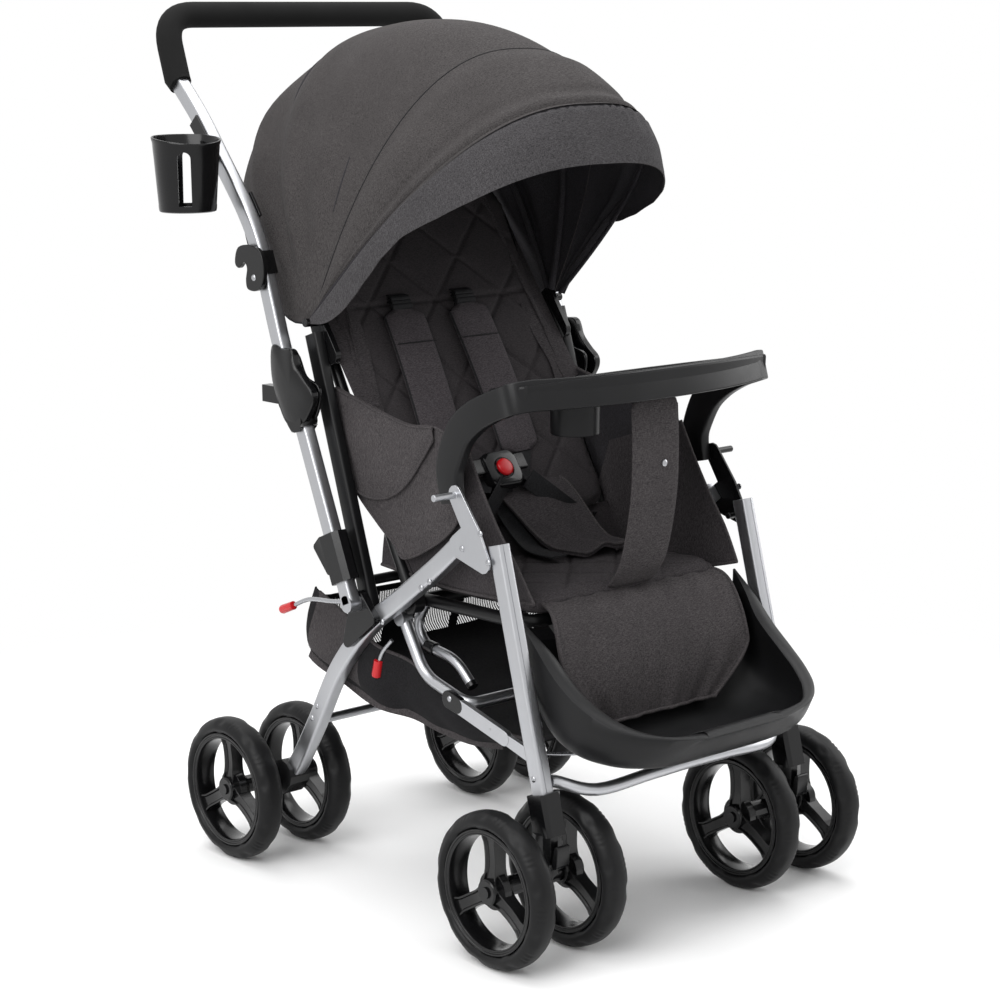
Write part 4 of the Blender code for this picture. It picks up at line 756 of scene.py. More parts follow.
def make_tubes():
    leg = sweep(side_line(FRONT_LEG, LEG_X), grooved(0.017, 0.02, 0.0027), X_AXIS)
    both_sides("fine_front_leg", leg, SILVER, "front_legs", "front_leg_{side}", angle=40)
    leg = sweep(curve(side_line(REAR_LEG, LEG_X), 6), box(0.017, 0.022), X_AXIS)
    both_sides("fine_rear_leg", leg, SILVER, "chassis", "rear_leg_{side}", angle=40)
    half = [Vector(p) for p in CROSS_BOW]
    bow = tube(curve(half + flipped(half[-2::-1]), 6), 0.007)
    piece("bowed_cross_tube", bow, SILVER, "front_legs", ["front_cross_tube"], angle=40)
    straight = tube([(-0.1812, 0.139, 0.185), (0.1812, 0.139, 0.185)], 0.0055)
    piece("rear_cross_rod", straight, SILVER, "chassis", ["rear_cross_tube"], angle=40)

    side = side_line([(0.002, 0.333), (-0.036, 0.271), (-0.112, 0.252)], 0.1665)
    eye = plate(hull([(0.002, 0.333, 0.0095)]), 0.1592, 0.1738)
    bar = joined(tube(rounded(there_and_back(side), 0.02, 8), 0.007), eye, mirrored(eye))
    piece("fine_fold_bar", bar, SILVER, "fold_bar_body", ["fold_bar"], angle=40)
    spots = [along(FOLD_KNEE, FOLD_TOE, far) for far in (0.098, 0.105, 0.075)]
    blade = hull([(*FOLD_KNEE, 0.0088), (*spots[0], 0.0088)])
    stem = hull([(*spots[1], 0.0066), (*FOLD_TOE, 0.0076)])
    dent = lathe([(0, 0.0016), (0.0004, 0.0012), (0.0004, 0)], (0.1812, *spots[2]), steps=16)
    link = joined(plate(blade, 0.1748, 0.1812), plate(stem, 0.1756, 0.1808), dent)
    both_sides("fine_fold_link", link, SILVER, "fold_link_body_{side}", "fold_link_{side}", bevel=0.0009, angle=40)

    cross = tube([(-0.1812, *RAIL_END), (0.1812, *RAIL_END)], 0.008)
    side = [Vector((0.148, *RAIL_END)), Vector((0.148, -0.19, 0.357))]
    rail = tube(rounded(there_and_back(side), 0.035, 10), 0.0075)
    piece("seat_rails", joined(cross, rail), BLACK_TUBE, "chassis", ["seat_frame"], angle=40)
    stay = tube(rounded(side_line(STAY, STAY_X), 0.02, 7), 0.006)
    both_sides("seat_stay", stay, SILVER, "chassis", angle=40)
    tip = along((0.028, 0.33), HOOD_PIVOT, 0.338)
    upright = sweep(side_line([(0.028, 0.33), tuple(tip)], UPRIGHT_X), box(0.014, 0.022), X_AXIS)
    cross = tube([(-0.19, 0.043, 0.372), (0.19, 0.043, 0.372)], 0.006)
    both = joined(upright, mirrored(upright), cross)
    piece("uprights", both, BLACK_TUBE, "chassis", ["upright_frame"], angle=40)

    ends = side_line([HANDLE_PIVOT, tuple(along(KNUCKLE, HANDLE_PIVOT, 0.018))], HANDLE_X)
    low = sweep(ends, box(0.016, 0.02), X_AXIS)
    root = plate(hull([(*HANDLE_PIVOT, 0.01)]), HANDLE_X - 0.008, HANDLE_X + 0.008)
    lower = joined(low, root)
    both_sides("fine_handle_lower", lower, SILVER, "handle_lower_body", "handle_lower_{side}", angle=40)
    upper = sweep(handle_line(), box(0.016, 0.02), X_AXIS)
    piece("fine_handle_upper", upper, SILVER, "handle_upper_body", ["handle_upper"], angle=40)

    def grip_end(t):
        return 1 - 0.1 * (1 - ease(min(t, 1 - t), 0, 0.012))

    grip = sweep([p for p in handle_line() if p.y >= 0.352], disc(0.0157, 28), X_AXIS, grip_end)
    piece("soft_grip", grip, FOAM, "handle_upper_body", ["foam_grip"], angle=60)


def make_fittings():
    lug = plate(hull([(*HANDLE_PIVOT, 0.013), (0.012, 0.335, 0.007), (0.058, 0.3, 0.007)]), 0.1975, 0.2072)
    both_sides("handle_lug", lug, GLOSS, "chassis", bevel=0.001)
    clevis = plate(hull([(*FOLD_KNEE, 0.0105), (*along(FOLD_KNEE, FOLD_TOE, 0.016), 0.0098)]), 0.1741, 0.1814)
    both_sides("fold_clevis", clevis, GLOSS, "fold_link_body_{side}", bevel=0.001)
    stub = tube(side_line([(-0.089, 0.2686), tuple(along(STAY[3], STAY[4], 0.04))], STAY_X), 0.0068)
    both_sides("stay_cap", stub, GLOSS, "chassis", bevel=0.0006)
    sleeve = tube(side_line([(-0.012, 0.2976), (-0.028, 0.2957)], STAY_X), 0.0078)
    both_sides("stay_sleeve", sleeve, GLOSS, "chassis", bevel=0.0008)
    neck = along((0.028, 0.33), HOOD_PIVOT, 0.325)
    tongue = plate(hull([(*neck, 0.01), (*HOOD_PIVOT, 0.012)]), 0.1806, 0.1846)
    pin = lathe([(-0.012, 0.005), (0.006, 0.005), (0.0066, 0.0044), (0.0066, 0)], (0.1939, *HOOD_PIVOT), steps=24)
    both_sides("hood_tongue", joined(tongue, pin), GLOSS, "chassis", bevel=0.0006)
    outline = hull([(*HOOD_PIVOT, 0.012), (*along(HOOD_PIVOT, (0.075, 0.585), 0.046), 0.0105)])
    both_sides("hood_hinge", plate(outline, 0.1765, 0.184), GLOSS, "chassis", bevel=0.0008)
    bodies = {
        "front_fork": "front_pod_{}", "caster_housing": "front_legs", "rear_hub": "chassis",
        "swivel_lock": "swivel_lock_body_{}", "brake_pedal": "brake_pedal_body_{}",
        "handle_lock": "handle_lock_body_{}", "knuckle": "handle_lower_body",
    }
    for side in SIDES:
        for node, body in bodies.items():
            refined(f"{node}_{side}", GLOSS, body.format(side), "black_plastic")
        # The two brackets are the same silver part; the left one, which lies away from the key light, is made gloss
        # black as painted shade.
        bracket = SILVER if side == "right" else GLOSS
        refined(f"armrest_bracket_{side}", bracket, "chassis", "silver_tube")


make_tubes()
make_fittings()


# Hood: the rear section on the uprights, and the front section with its visor, which folds back

HOOD_WALL = 1.4 * MM
HOOD_SEAM = 26.5
HOOD_START = math.radians(0.45)
# Angles of the edges against the turn round them: beside the hinges the rear edge runs on down
# behind them, and the front section and the visor's hem are drawn back towards the left one
REAR_EDGE = [(0, -100), (4, -94), (8, -82), (13, -72), (20, -65), (32, -60)]
FRONT_BOW = [(0, 32), (4, 35), (9, 40), (17, 43.5), (24, 46.4), (180, 46.4)]
VISOR_EDGE = [
    (0, 32.5), (4, 35.5), (9, 40.5), (16, 44), (20, 50), (26, 54), (36, 57), (46, 58), (132, 58), (143, 57.5),
    (154, 56), (161, 58), (167, 63), (171, 69), (175, 78), (178, 88), (180, 94),
]


def between(values, t):
    place = t * (len(values) - 1)
    low = min(int(place), len(values) - 2)
    return values[low] + (values[low + 1] - values[low]) * (place - low)


def read_off(table, value):
    """The table's second number at a place between its first ones."""
    for (a, low), (b, high) in zip(table, table[1:]):
        if value <= b:
            return low + (high - low) * max(0.0, (value - a) / (b - a))
    return table[-1][1]


def rear_edge_angle(turn):
    return read_off(REAR_EDGE, min(math.degrees(turn), 180 - math.degrees(turn)))


def hood_point(width, radius, power, angle, turn):
    """A point of a bow: its angle counts forward from upright, turn runs from the left hinge to the right."""
    turn = min(max(turn, 1e-6), math.pi - 1e-6)
    out = radius * math.sin(turn) ** (2 / power)
    angle = math.radians(angle)
    x = width * squared(math.cos(turn), 2 / power)
    return Vector((x, HOOD_PIVOT[0] - out * math.sin(angle), HOOD_PIVOT[1] + out * math.cos(angle)))


def bow_turns(steps):
    return [HOOD_START + (math.pi - 2 * HOOD_START) * j / steps for j in range(steps + 1)]


def near_hinge(turn):
    """1 at the hinges, where the cloth gathers, to 0 on the crown."""
    return 1 - ease(min(turn, math.pi - turn), 0.15, 1.0)


def rear_lift(angle, turn):
    """Folds of the rear section: two long pleats by the rear bow and slack rays from the hinges."""
    t = (angle + 60) / 88
    side = min(turn, math.pi - turn)
    slack = ease(side, 0.05, 0.35) * (1 - ease(t, 0.8, 0.97)) * ease(t, 0.0, 0.08)
    rays = 0.0022 * math.sin(math.radians(angle) * 15 + 1.6 * math.sin(2.1 * side)) * near_hinge(turn)
    wave = 0.002 * math.sin(4.2 * turn + math.radians(angle) * 2.4) * math.sin(3.1 * t * math.pi)
    pleat = 0.0052 * bump(angle, -45 + 7 * side, 7) - 0.0058 * bump(angle, -33 + 7 * side, 8)
    second = 0.003 * bump(angle, -21 + 5 * side, 7) - 0.0026 * bump(angle, -12 + 4 * side, 9)
    pull = (pleat + second) * (1 - 0.75 * ease(side, 0.9, 1.5))
    creases = -0.0016 * bump(angle - 9 * math.sin(5 * side), 2, 6) * bump(side, 0.62, 0.35)
    return (rays + wave + pull + creases) * slack


def front_lift(v, angle, turn):
    """The front section hugs the rear one, and ends in a rolled hem over its bow."""
    side = min(turn, math.pi - turn)
    hug = -0.0042 * (1 - ease(v, 0.0, 0.3))
    roll = 0.003 * bump(v, 0.94, 0.075) - 0.0018 * bump(v, 0.8, 0.09)
    rays = 0.0016 * math.sin(math.radians(angle) * 22 + side) * near_hinge(turn)
    wave = 0.0016 * math.sin(5.2 * turn + 1.2) * math.sin(math.pi * v)
    slack = ease(side, 0.05, 0.3) * ease(v, 0.05, 0.3) * (1 - ease(v, 0.72, 0.85))
    return hug + roll + (rays + wave) * slack


def visor_lift(v, turn):
    """The visor starts tucked below the rolled hem, and its elastic gathers it by the crown."""
    tuck = -0.0052 * (1 - ease(v, 0.0, 0.16))
    x = math.cos(turn)
    pinch = bell(x, 0.16, 0.36) * (1 - ease(v, 0.1, 0.62)) * ease(v, 0.0, 0.12)
    gather = 0.0016 * math.sin(96 * x + 5 * math.sin(9 * x)) * pinch
    slack = 0.0012 * math.sin(7 * turn) * bump(v, 0.55, 0.45)
    return tuck + gather + slack + 0.0007 * bump(v, 0.9, 0.05)


def hood_rows():
    """The front section's bows and then the visor's, with how far each point is lifted."""
    turns = bow_turns(150)
    bows = [read_off(FRONT_BOW, math.degrees(turn)) for turn in turns]
    hems = [read_off(VISOR_EDGE, math.degrees(turn)) for turn in turns]
    rows, lifts = [], []
    for i in range(31):
        v = i / 30
        radius = between([0.3515, 0.358, 0.366], v * 26.2 / 28)
        angles = [HOOD_SEAM + (bow - HOOD_SEAM) * v for bow in bows]
        rows.append([hood_point(0.1935, radius, 2.5 + 0.1 * v, a, turn) for a, turn in zip(angles, turns)])
        lifts.append([front_lift(v, a, turn) for a, turn in zip(angles, turns)])
    for i in range(19):
        v = (i / 18) ** 1.2
        radius = between([0.3715, 0.365, 0.351], v)
        angles = [bow + (hem - bow) * v for bow, hem in zip(bows, hems)]
        rows.append([hood_point(0.1985, radius, 2.6 + 0.1 * v, a, turn) for a, turn in zip(angles, turns)])
        lifts.append([visor_lift(v, turn) for turn in turns])
    return rows, lifts


def bow_tube(width, radius, power, angle, thick, steps=60, around=12):
    """A cord along a bow; its angle is a number, or a function of the turn."""
    at = angle if callable(angle) else lambda turn: angle
    return sweep([hood_point(width, radius, power, at(turn), turn) for turn in bow_turns(steps)], disc(thick, around))


def make_hood():
    turns = bow_turns(120)
    edges = [rear_edge_angle(turn) for turn in turns]
    angles = [[edge + (28 - edge) * i / 60 for edge in edges] for i in range(61)]
    radii = [0.315, 0.33, 0.34, 0.344, 0.345, 0.345]

    def rear_point(a, turn):
        return hood_point(0.1885, between(radii, min(1.0, max(0.0, (a + 60) / 82))), 2.5, a, turn)

    rows = [[rear_point(a, turn) for a, turn in zip(row, turns)] for row in angles]
    middle = (0, *HOOD_PIVOT)
    lift = lambda i, j: rear_lift(angles[i][j], turns[j])
    shape, marks = cloth_shell(rows, HOOD_WALL, middle, lined, lift)
    rear = piece("hood_rear_cloth", shape, [CANOPY, LINING], "chassis", ["canopy_rear"], angle=60, marks=marks)

    rows, lifts = hood_rows()
    kinds = lambda i, j: 2 if i < 0 else (0 if i < 31 else 1)
    shape, marks = cloth_shell(rows, HOOD_WALL, middle, kinds, lambda i, j: lifts[i][j])
    cloths, nodes = [CANOPY, VISOR, LINING], ["canopy_front", "canopy_visor"]
    front = piece("hood_front_cloth", shape, cloths, "hood_front", nodes, angle=60, marks=marks)

    pockets = joined(*[bow_tube(0.183, 0.3345, 2.5, angle, 0.0042) for angle in (14, -22)])
    piece("hood_bow_pockets", pockets, LINING, "chassis", angle=60)
    piece("visor_bow_pocket", bow_tube(0.194, 0.3662, 2.6, 47.6, 0.0026), LINING, "hood_front", angle=60)
    # A thin black cord on the seam between the hood's sections is painted shade: it stands for the shadow line at the
    # seam's stitched ridge.
    seam = bow_tube(0.1893, 0.3472, 2.5, HOOD_SEAM - 0.1, 0.0007, 110, 8)
    piece("hood_seam_piping", seam, RIBBON, "hood_front", angle=60)
    binding = bow_tube(0.1874, 0.3145, 2.5, lambda turn: rear_edge_angle(turn) - 0.2, 0.0016, 110, 10)
    piece("hood_rear_binding", binding, RIBBON, "chassis", angle=60)


make_hood()


# Tray, footrest, cup holder, knuckle covers, levers and caps

TRAY_HALF_W = 0.1985
TRAY_REAR_Y, TRAY_CORNER_Y, TRAY_FRONT_Y = -0.113, -0.226, -0.264
TRAY_LOW_Z, TRAY_FRONT_Z, TRAY_REAR_Z, TRAY_DISH_Z = 0.6, 0.634, 0.6085, 0.6035
TRAY_REAR_EDGE = ((0.189, -0.196), (0.164, -0.148), (0.108, -0.12), (0.0, -0.113))
# Inset, height that it counts from, and distance above that: from the underside over the rim to the dish
TRAY_LOOPS = (
    (0.004, "low", 0.0), (0.0012, "low", 0.0012), (0.0006, "top", -0.003), (0.0012, "top", -0.0008),
    (0.003, "top", 0.0), (0.005, "top", -0.0006), (0.006, "top", -0.003), (0.007, "dish", 0.004),
    (0.011, "dish", 0.0),
)
TRAY_CUP_AT = (-0.074, -0.19, 0.56)
ARM_LINE = [
    (-0.187, 0.6015), (-0.159, 0.5875), (-0.1355, 0.568), (-0.1204, 0.5405), (-0.115, 0.5185), (-0.1205, 0.488),
]
TUB_RIM = [
    (-0.2005, 0.372), (-0.232, 0.345), (-0.262, 0.316), (-0.292, 0.294), (-0.322, 0.277), (-0.35, 0.264),
    (-0.372, 0.256), (-0.386, 0.251),
]
TUB_FLOOR = [
    (-0.2005, 0.33), (-0.216, 0.262), (-0.24, 0.226), (-0.272, 0.213), (-0.304, 0.211), (-0.33, 0.212),
    (-0.352, 0.217), (-0.379, 0.241),
]
TUB_HALF_W = [0.172, 0.174, 0.174, 0.172, 0.164, 0.147, 0.116, 0.06]
TUB_LINES = profile(TUB_RIM, 6), profile(TUB_FLOOR, 6), curve([(w, 0, 0) for w in TUB_HALF_W], 6)
TUB_POWER = 0.45
CUP_AT, CUP_BASE, CUP_RISE = (-0.2795, 0.25), 0.792, 0.088
CUP_WALL = (
    (0.0, 0.031), (0.012, 0.033), (0.04, 0.0336), (0.5, 0.0366), (0.93, 0.0392), (0.97, 0.0403), (0.99, 0.0405),
    (1.0, 0.0399), (1.0, 0.0385), (0.985, 0.0378), (0.5, 0.0345), (0.05, 0.0312),
)
CUP_GRASP = [(-0.01, -0.0065), (-0.01, 0.0122), (0.006, 0.0122), (0.006, 0.0104), (-0.0083, 0.0104),
             (-0.0083, -0.0065)]
KNUCKLE_OUTER = [
    (0.1664, 0.6379), (0.1467, 0.6363), (0.1272, 0.6358), (0.1182, 0.617), (0.1033, 0.6023), (0.0895, 0.5911),
    (0.0885, 0.579), (0.096, 0.5665), (0.1065, 0.5545), (0.1249, 0.5463), (0.1424, 0.5512), (0.1572, 0.5755),
    (0.1679, 0.6038),
]
KNUCKLE_INNER = [
    (0.1651, 0.6307), (0.1396, 0.6308), (0.123, 0.6055), (0.0983, 0.5964), (0.0951, 0.5792), (0.1055, 0.557),
    (0.125, 0.5524), (0.155, 0.564), (0.168, 0.6),
]


def front_bow(t):
    """y of the tray's front face at a share t of its half width."""
    return TRAY_CORNER_Y + (TRAY_FRONT_Y - TRAY_CORNER_Y) * (1 - abs(t) ** 2.4)


def tray_outline(inset):
    """The pan's plan: the front bow, then a rounder rear edge inside the arms."""
    half = TRAY_HALF_W - inset
    points = [Vector((half * t, front_bow(t) + inset, 0)) for t in [i / 24 - 1 for i in range(1, 48)]]
    points += [Vector((x - inset * (x > 0), y - inset, 0)) for x, y in TRAY_REAR_EDGE]
    return curve(points + flipped(points[-2:-5:-1]), 2, True)


def tray_pan():
    """Floor and walls: loops from the underside over the rim's crest and down to the dish's floor."""
    loops = []
    for inset, kind, shift in TRAY_LOOPS:
        loop = []
        for p in tray_outline(inset):
            slope = (TRAY_REAR_Z - TRAY_FRONT_Z) / (TRAY_REAR_Y - TRAY_FRONT_Y)
            levels = {"low": TRAY_LOW_Z, "dish": TRAY_DISH_Z, "top": TRAY_FRONT_Z + (p.y - TRAY_FRONT_Y) * slope}
            loop.append(Vector((p.x, p.y, max(levels[kind] + shift, TRAY_LOW_Z))))
        loops.append(loop)
    cup = lathe([(0, 0.0265), (0.0008, 0.0272), (0.0432, 0.028)], TRAY_CUP_AT, Z_AXIS, 64)
    hole = lathe([(0.0025, 0.024), (0.004, 0.025), (0.06, 0.0256)], TRAY_CUP_AT, Z_AXIS, 64)
    return solved("DIFFERENCE", solved("UNION", prism(loops), cup), hole)


def tray_band():
    """The front wall runs on round the corners and down as the arms, in one piece."""
    half = [Vector((TRAY_HALF_W * t, front_bow(t) + 0.0035, 0.617)) for t in [i / 24 for i in range(22)]]
    half += [Vector((0.1925, -0.2215, 0.614)), Vector((0.1915, -0.206, 0.6085))]
    half = curve(half + side_line(ARM_LINE, 0.1915), 4)
    line = flipped(half[:0:-1]) + half
    lengths = lengths_of(line)
    rows = []
    for (centre, across, up), far in zip(stations(line, (-1, 0, 0)), lengths):
        share = abs(2 * far / lengths[-1] - 1)
        tall = 0.034 + 0.0055 * bump(share, 0.8, 0.22) - 0.002 * ease(share, 0.9, 1.0)
        thick = 0.007 + 0.0065 * ease(share, 0.5, 0.74)
        rows.append([centre + across * u + up * v for u, v in box(thick, tall, min(thick, tall) * 0.3, 4)])
    return prism(rows)


def tub_point(s, turn, inset=0.0, floor=1.0):
    """A point of the scoop: s runs from its rear edge to its toe, turn across it; floor 0 is the rim's level."""
    place = min(s, 0.99999) * (len(TUB_RIM) - 1) * 6
    i, share = int(place), place - int(place)
    top, low, half = (line[i].lerp(line[i + 1], share) for line in TUB_LINES)
    point = top.lerp(low + Vector((0, 0, inset * 0.2)), math.sin(turn) ** TUB_POWER * floor)
    return Vector(((half.x - inset) * squared(math.cos(turn), TUB_POWER), point.y, point.z))


def footrest_tub():
    """A scoop with a broad rolled rim round its sides and toe."""
    steps, count = 56, 60
    turns = [math.pi * j / steps for j in range(steps + 1)]
    rims = [(1 - math.sin(turn) ** TUB_POWER) ** 1.5 for turn in turns]
    outside, inside = [], []
    for k in range(count + 1):
        s = k / count
        flange, toe = 0.0165 * ease(s, 0.0, 0.25), ease(s, 0.8, 1.0)
        outside.append([tub_point(s, turn, 0.0, 1 - ease(s, 0.9, 1.0)) for turn in turns])
        row = [tub_point(s, t, 0.0034 + flange * rim * (1 - 0.6 * toe), 1 - toe) for t, rim in zip(turns, rims)]
        inside.append([p + Vector((0, 0.0175 * toe, 0.0035 * (1 - rim))) for p, rim in zip(row, rims)])
    edge = [(k, 0) for k in range(count)] + [(count, j) for j in range(steps)]
    edge += [(k, steps) for k in range(count, 0, -1)] + [(0, j) for j in range(steps, 0, -1)]
    crest = Vector((0, -0.35, 1)).normalized() * 0.0028
    roll = []
    for t in (0.0, 0.06, 0.25, 0.5, 0.75, 0.94, 1.0):
        rise = math.sin(math.pi * t) ** 0.7 if 0 < t < 1 else 0.0
        lifts = [crest * rise * ease(k / count, 0.0, 0.25) for k, _ in edge]
        roll.append([outside[k][j].lerp(inside[k][j], t) + lift for (k, j), lift in zip(edge, lifts)])
    parts = [grid(outside), grid(inside), grid(roll, around=True)]
    for x in (0.1, -0.1):
        web = plate(hull([(-0.19, 0.357, 0.0125), (-0.204, 0.338, 0.00625)]), x - 0.008, x + 0.008)
        bore = lathe([(-0.02, 0.0078), (0.02, 0.0078)], (x, -0.19, 0.357), X_AXIS, 40)
        above = plate([(-0.25, 0.36), (-0.15, 0.36), (-0.15, 0.4), (-0.25, 0.4)], x - 0.02, x + 0.02)
        parts.append(solved("DIFFERENCE", web, bore, above))
    return joined(*parts)


def cup_holder():
    """Gloss cup with a rim that dips in front, tall round-topped windows and a clip on the tube."""
    x, y = CUP_AT
    rows = []
    for share, radius in CUP_WALL:
        row = []
        for i in range(96):
            turn = 2 * math.pi * i / 96
            dip = 0.0085 * (0.5 + 0.5 * math.cos(turn + 0.55 * math.pi)) ** 1.6 * ease(share, 0.45, 1.0)
            place = (x + radius * math.cos(turn), y + radius * math.sin(turn), CUP_BASE + CUP_RISE * share - dip)
            row.append(Vector(place))
        rows.append(row)
    low, high, half = CUP_BASE + 0.008, CUP_BASE + 0.07, 0.0075
    turns = [math.pi * k / 12 for k in range(13)]
    arch = [(-half, low), (half, low)] + [(half * math.cos(t), high - half + half * math.sin(t)) for t in turns]
    windows = []
    for dx, dy in ((-0.62, -0.785), (0.62, 0.785), (-0.785, 0.62), (0.785, -0.62)):
        spots = [[Vector((x + dx * r - dy * u, y + dy * r + dx * u, v)) for u, v in arch] for r in (0.015, 0.055)]
        windows.append(prism(spots))
    cup = solved("DIFFERENCE", prism(rows), *windows)
    held = handle_part(0.842, 0.902, 0.35)
    near = held[len(held) // 2].y
    arm = slab([(-0.224, near - 0.008), (-0.224, near + 0.01), (-0.244, 0.276), (-0.25, 0.262)], 0.846, 0.872)
    return joined(cup, sweep(held, CUP_GRASP, X_AXIS), arm)


def domed(outline, inner, outer, rise):
    """A moulded cover: flat on its inner side, crowned on its outer one."""
    middle = sum((Vector((0, *p)) for p in outline), Vector()) / len(outline)
    rim = [p - middle for p in profile(outline, 5, True)]
    crown = [(0.97, 0), (0.85, 0.45), (0.6, 0.8), (0.3, 0.97), (0.02, 1)]
    loops = [(0.97, inner), (1.0, inner + 0.001), (1.0, outer - 0.0015)]
    loops += [(grow, outer + rise * share) for grow, share in crown]
    return prism([[Vector((x, *tuple(middle + p * grow)[1:])) for p in rim] for grow, x in loops])


def make_plastics():
    piece("tray_pan", tray_pan(), SATIN, "tray_body", ["tray"], angle=14)
    piece("tray_band", tray_band(), SATIN, "tray_body", angle=50)
    piece("footrest_tub", footrest_tub(), TUB, "chassis", ["footrest"], angle=50)
    piece("fine_cup_holder", cup_holder(), GLOSS, "handle_upper_body", ["cup_holder"], angle=45)
    cover = domed(KNUCKLE_OUTER, 0.217, 0.2265, 0.004)
    inner = mirrored(domed(KNUCKLE_INNER, -0.211, -0.2064, 0.0018))
    button = slab([(0.211, 0.158), (0.211, 0.19), (0.224, 0.19), (0.224, 0.158)], 0.57, 0.59)
    both_sides("knuckle_cover", joined(cover, inner, button), GLOSS, "handle_upper_body", bevel=0.0008)

    line = curve(side_line([HANDLE_PIVOT, (0.085, 0.343), (0.13, 0.338), (0.16, 0.3262)], -0.2043), 8)
    rod = joined(tube(line, 0.0026, 14), lathe([(-0.0045, 0.0085), (0.0045, 0.0085)], line[0], steps=32))
    piece("lever_rod", rod, STEEL, "fold_lever_body", ["fold_lever"], angle=45)
    tip = Vector((-0.2043, 0.178, 0.319))
    aim = (tip - line[-1]).normalized()
    radii = [(-0.013, 0.0042), (-0.0125, 0.0052), (0.01, 0.0055), (0.012, 0.005), (0.013, 0.0036), (0.0133, 0)]
    piece("lever_cap", lathe(radii, tip - aim * 0.002, aim, 28), RED, "fold_lever_body", angle=40)


make_plastics()


# Soft goods of the seat

RECLINE_PIVOT = (-0.015, 0.354)
BACK_LEAN = math.radians(28.5)
BACK_TUBE_X, BACK_TUBE_R, BACK_L = 0.165, 0.007, 0.53
QUILT_PERIOD, SEAT_QUILT_PERIOD = 0.105, 0.075
SEAT_FACE_Z = 0.3648
PAD_VOXEL, PAD_PRESSURE, CLOTH_FRAMES = 0.005, 4, 20
HARNESS_FACE = 0.0255
BELT_THICK = 0.0018
CROTCH_LINE = [(-0.198, 0.38), (-0.222, 0.412), (-0.238, 0.48), (-0.2415, 0.54), (-0.239, 0.599)]
CALF_LINE = [(-0.196, 0.379), (-0.216, 0.374), (-0.23, 0.358), (-0.244, 0.322), (-0.251, 0.285), (-0.253, 0.2445)]
WING_TOP = [
    (0.1085, 0.5895), (0.0521, 0.576), (-0.0207, 0.5615), (-0.0686, 0.5635), (-0.098, 0.548), (-0.1085, 0.5),
]
WING_HEM = [
    (0.128, 0.548), (0.1112, 0.5101), (0.0926, 0.4888), (0.0646, 0.4714), (0.031, 0.4691), (-0.0006, 0.4793),
    (-0.0246, 0.4965), (-0.0466, 0.5223), (-0.0684, 0.548),
]
WING_LOW = [
    (0.127, 0.54), (0.0834, 0.4782), (0.0374, 0.44), (0.0064, 0.4189), (-0.0114, 0.405), (-0.0623, 0.427),
    (-0.0979, 0.4522), (-0.111, 0.472),
]


def back_at(x, distance, ahead):
    """A point by its distance up the backrest and how far it is ahead of the frame's plane."""
    s, c = math.sin(BACK_LEAN), math.cos(BACK_LEAN)
    return Vector((x, RECLINE_PIVOT[0] + distance * s - ahead * c, RECLINE_PIVOT[1] + distance * c + ahead * s))


def on_back(point):
    """The backrest's own (x, distance, ahead) of a point."""
    y, z = point.y - RECLINE_PIVOT[0], point.z - RECLINE_PIVOT[1]
    s, c = math.sin(BACK_LEAN), math.cos(BACK_LEAN)
    return point.x, y * s + z * c, z * s - y * c


def coordinates(mesh):
    found = np.empty(len(mesh.vertices) * 3)
    mesh.vertices.foreach_get("co", found)
    return found.reshape(-1, 3)


def blown_up(made, cap):
    """Swells a pad by Cloth's pressure, no point of it by more than cap."""
    before = coordinates(made.data)
    cloth = made.modifiers.new("cloth", "CLOTH")
    settings = {
        "use_pressure": True, "uniform_pressure_force": PAD_PRESSURE, "tension_stiffness": 12,
        "compression_stiffness": 8, "bending_stiffness": 0.4,
    }
    for name, value in settings.items():
        setattr(cloth.settings, name, value)
    cloth.settings.effector_weights.gravity = 0
    cloth.point_cache.frame_start = 1
    cloth.point_cache.frame_end = CLOTH_FRAMES
    for step in range(1, CLOTH_FRAMES + 1):
        bpy.context.scene.frame_set(step)
    settle_mesh(made)
    step = coordinates(made.data) - before
    far = np.linalg.norm(step, axis=1, keepdims=True)
    after = before + step * np.minimum(1, cap / np.maximum(far, 1e-9))
    made.data.vertices.foreach_set("co", after.ravel())
    bpy.context.scene.frame_set(1)


def swollen(name, outline, reach, place, cap, settle, material, body, node):
    """A pad blown up by Cloth from a smaller start shape, then moved point by point by settle.

    outline has its corners rounded by reach, and place(point) gives its lower and upper points.
    """
    corners = rounded([Vector((x, y, 0)) for x, y in outline], reach, 8, True)
    rows = [[place(p)[k] for p in corners] for k in (0, 1)]
    made = linked(name, cleaned(mesh_of(name, prism(rows), SHIFT), 0))
    remesh = made.modifiers.new("even", "REMESH")
    remesh.mode = "VOXEL"
    remesh.voxel_size = PAD_VOXEL
    settle_mesh(made)
    blown_up(made, cap)
    smooth = made.modifiers.new("fine", "SUBSURF")
    smooth.levels = smooth.render_levels = 1
    settle_mesh(made)
    for vertex in made.data.vertices:
        vertex.co = settle(Vector(vertex.co) - SHIFT) + SHIFT
    made.data.materials.clear()
    dressed(made, [material], body, [node], 0, 80, None)


def seam_depth(x, v, period):
    """1 on the diamond seams of a pad's face, 0 between them."""
    deepest = 0.0
    for diagonal in (x + v, x - v):
        off = abs((diagonal / period + 0.5) % 1 - 0.5) * period
        deepest = max(deepest, bell(off, 0, 0.0032) + 0.35 * bell(off, 0, 0.012))
    return deepest


def settle_back(point):
    x, d, n = on_back(point)
    level = BACK_TUBE_R + 0.0005
    inside = ease(0.16 - abs(x), 0.0, 0.03) * ease(d, 0.06, 0.09) * (1 - ease(d, 0.475, 0.505))
    if n > level + 0.006:
        n -= 0.0026 * seam_depth(x, d - 0.41 + QUILT_PERIOD / 2, QUILT_PERIOD) * inside
        n -= 0.003 * bell(d, 0.356, 0.003) * inside
        n -= 0.0045 * (1 - (x / 0.16) ** 2) * ease(d, 0.06, 0.2)
    return back_at(x, d, max(n, level))


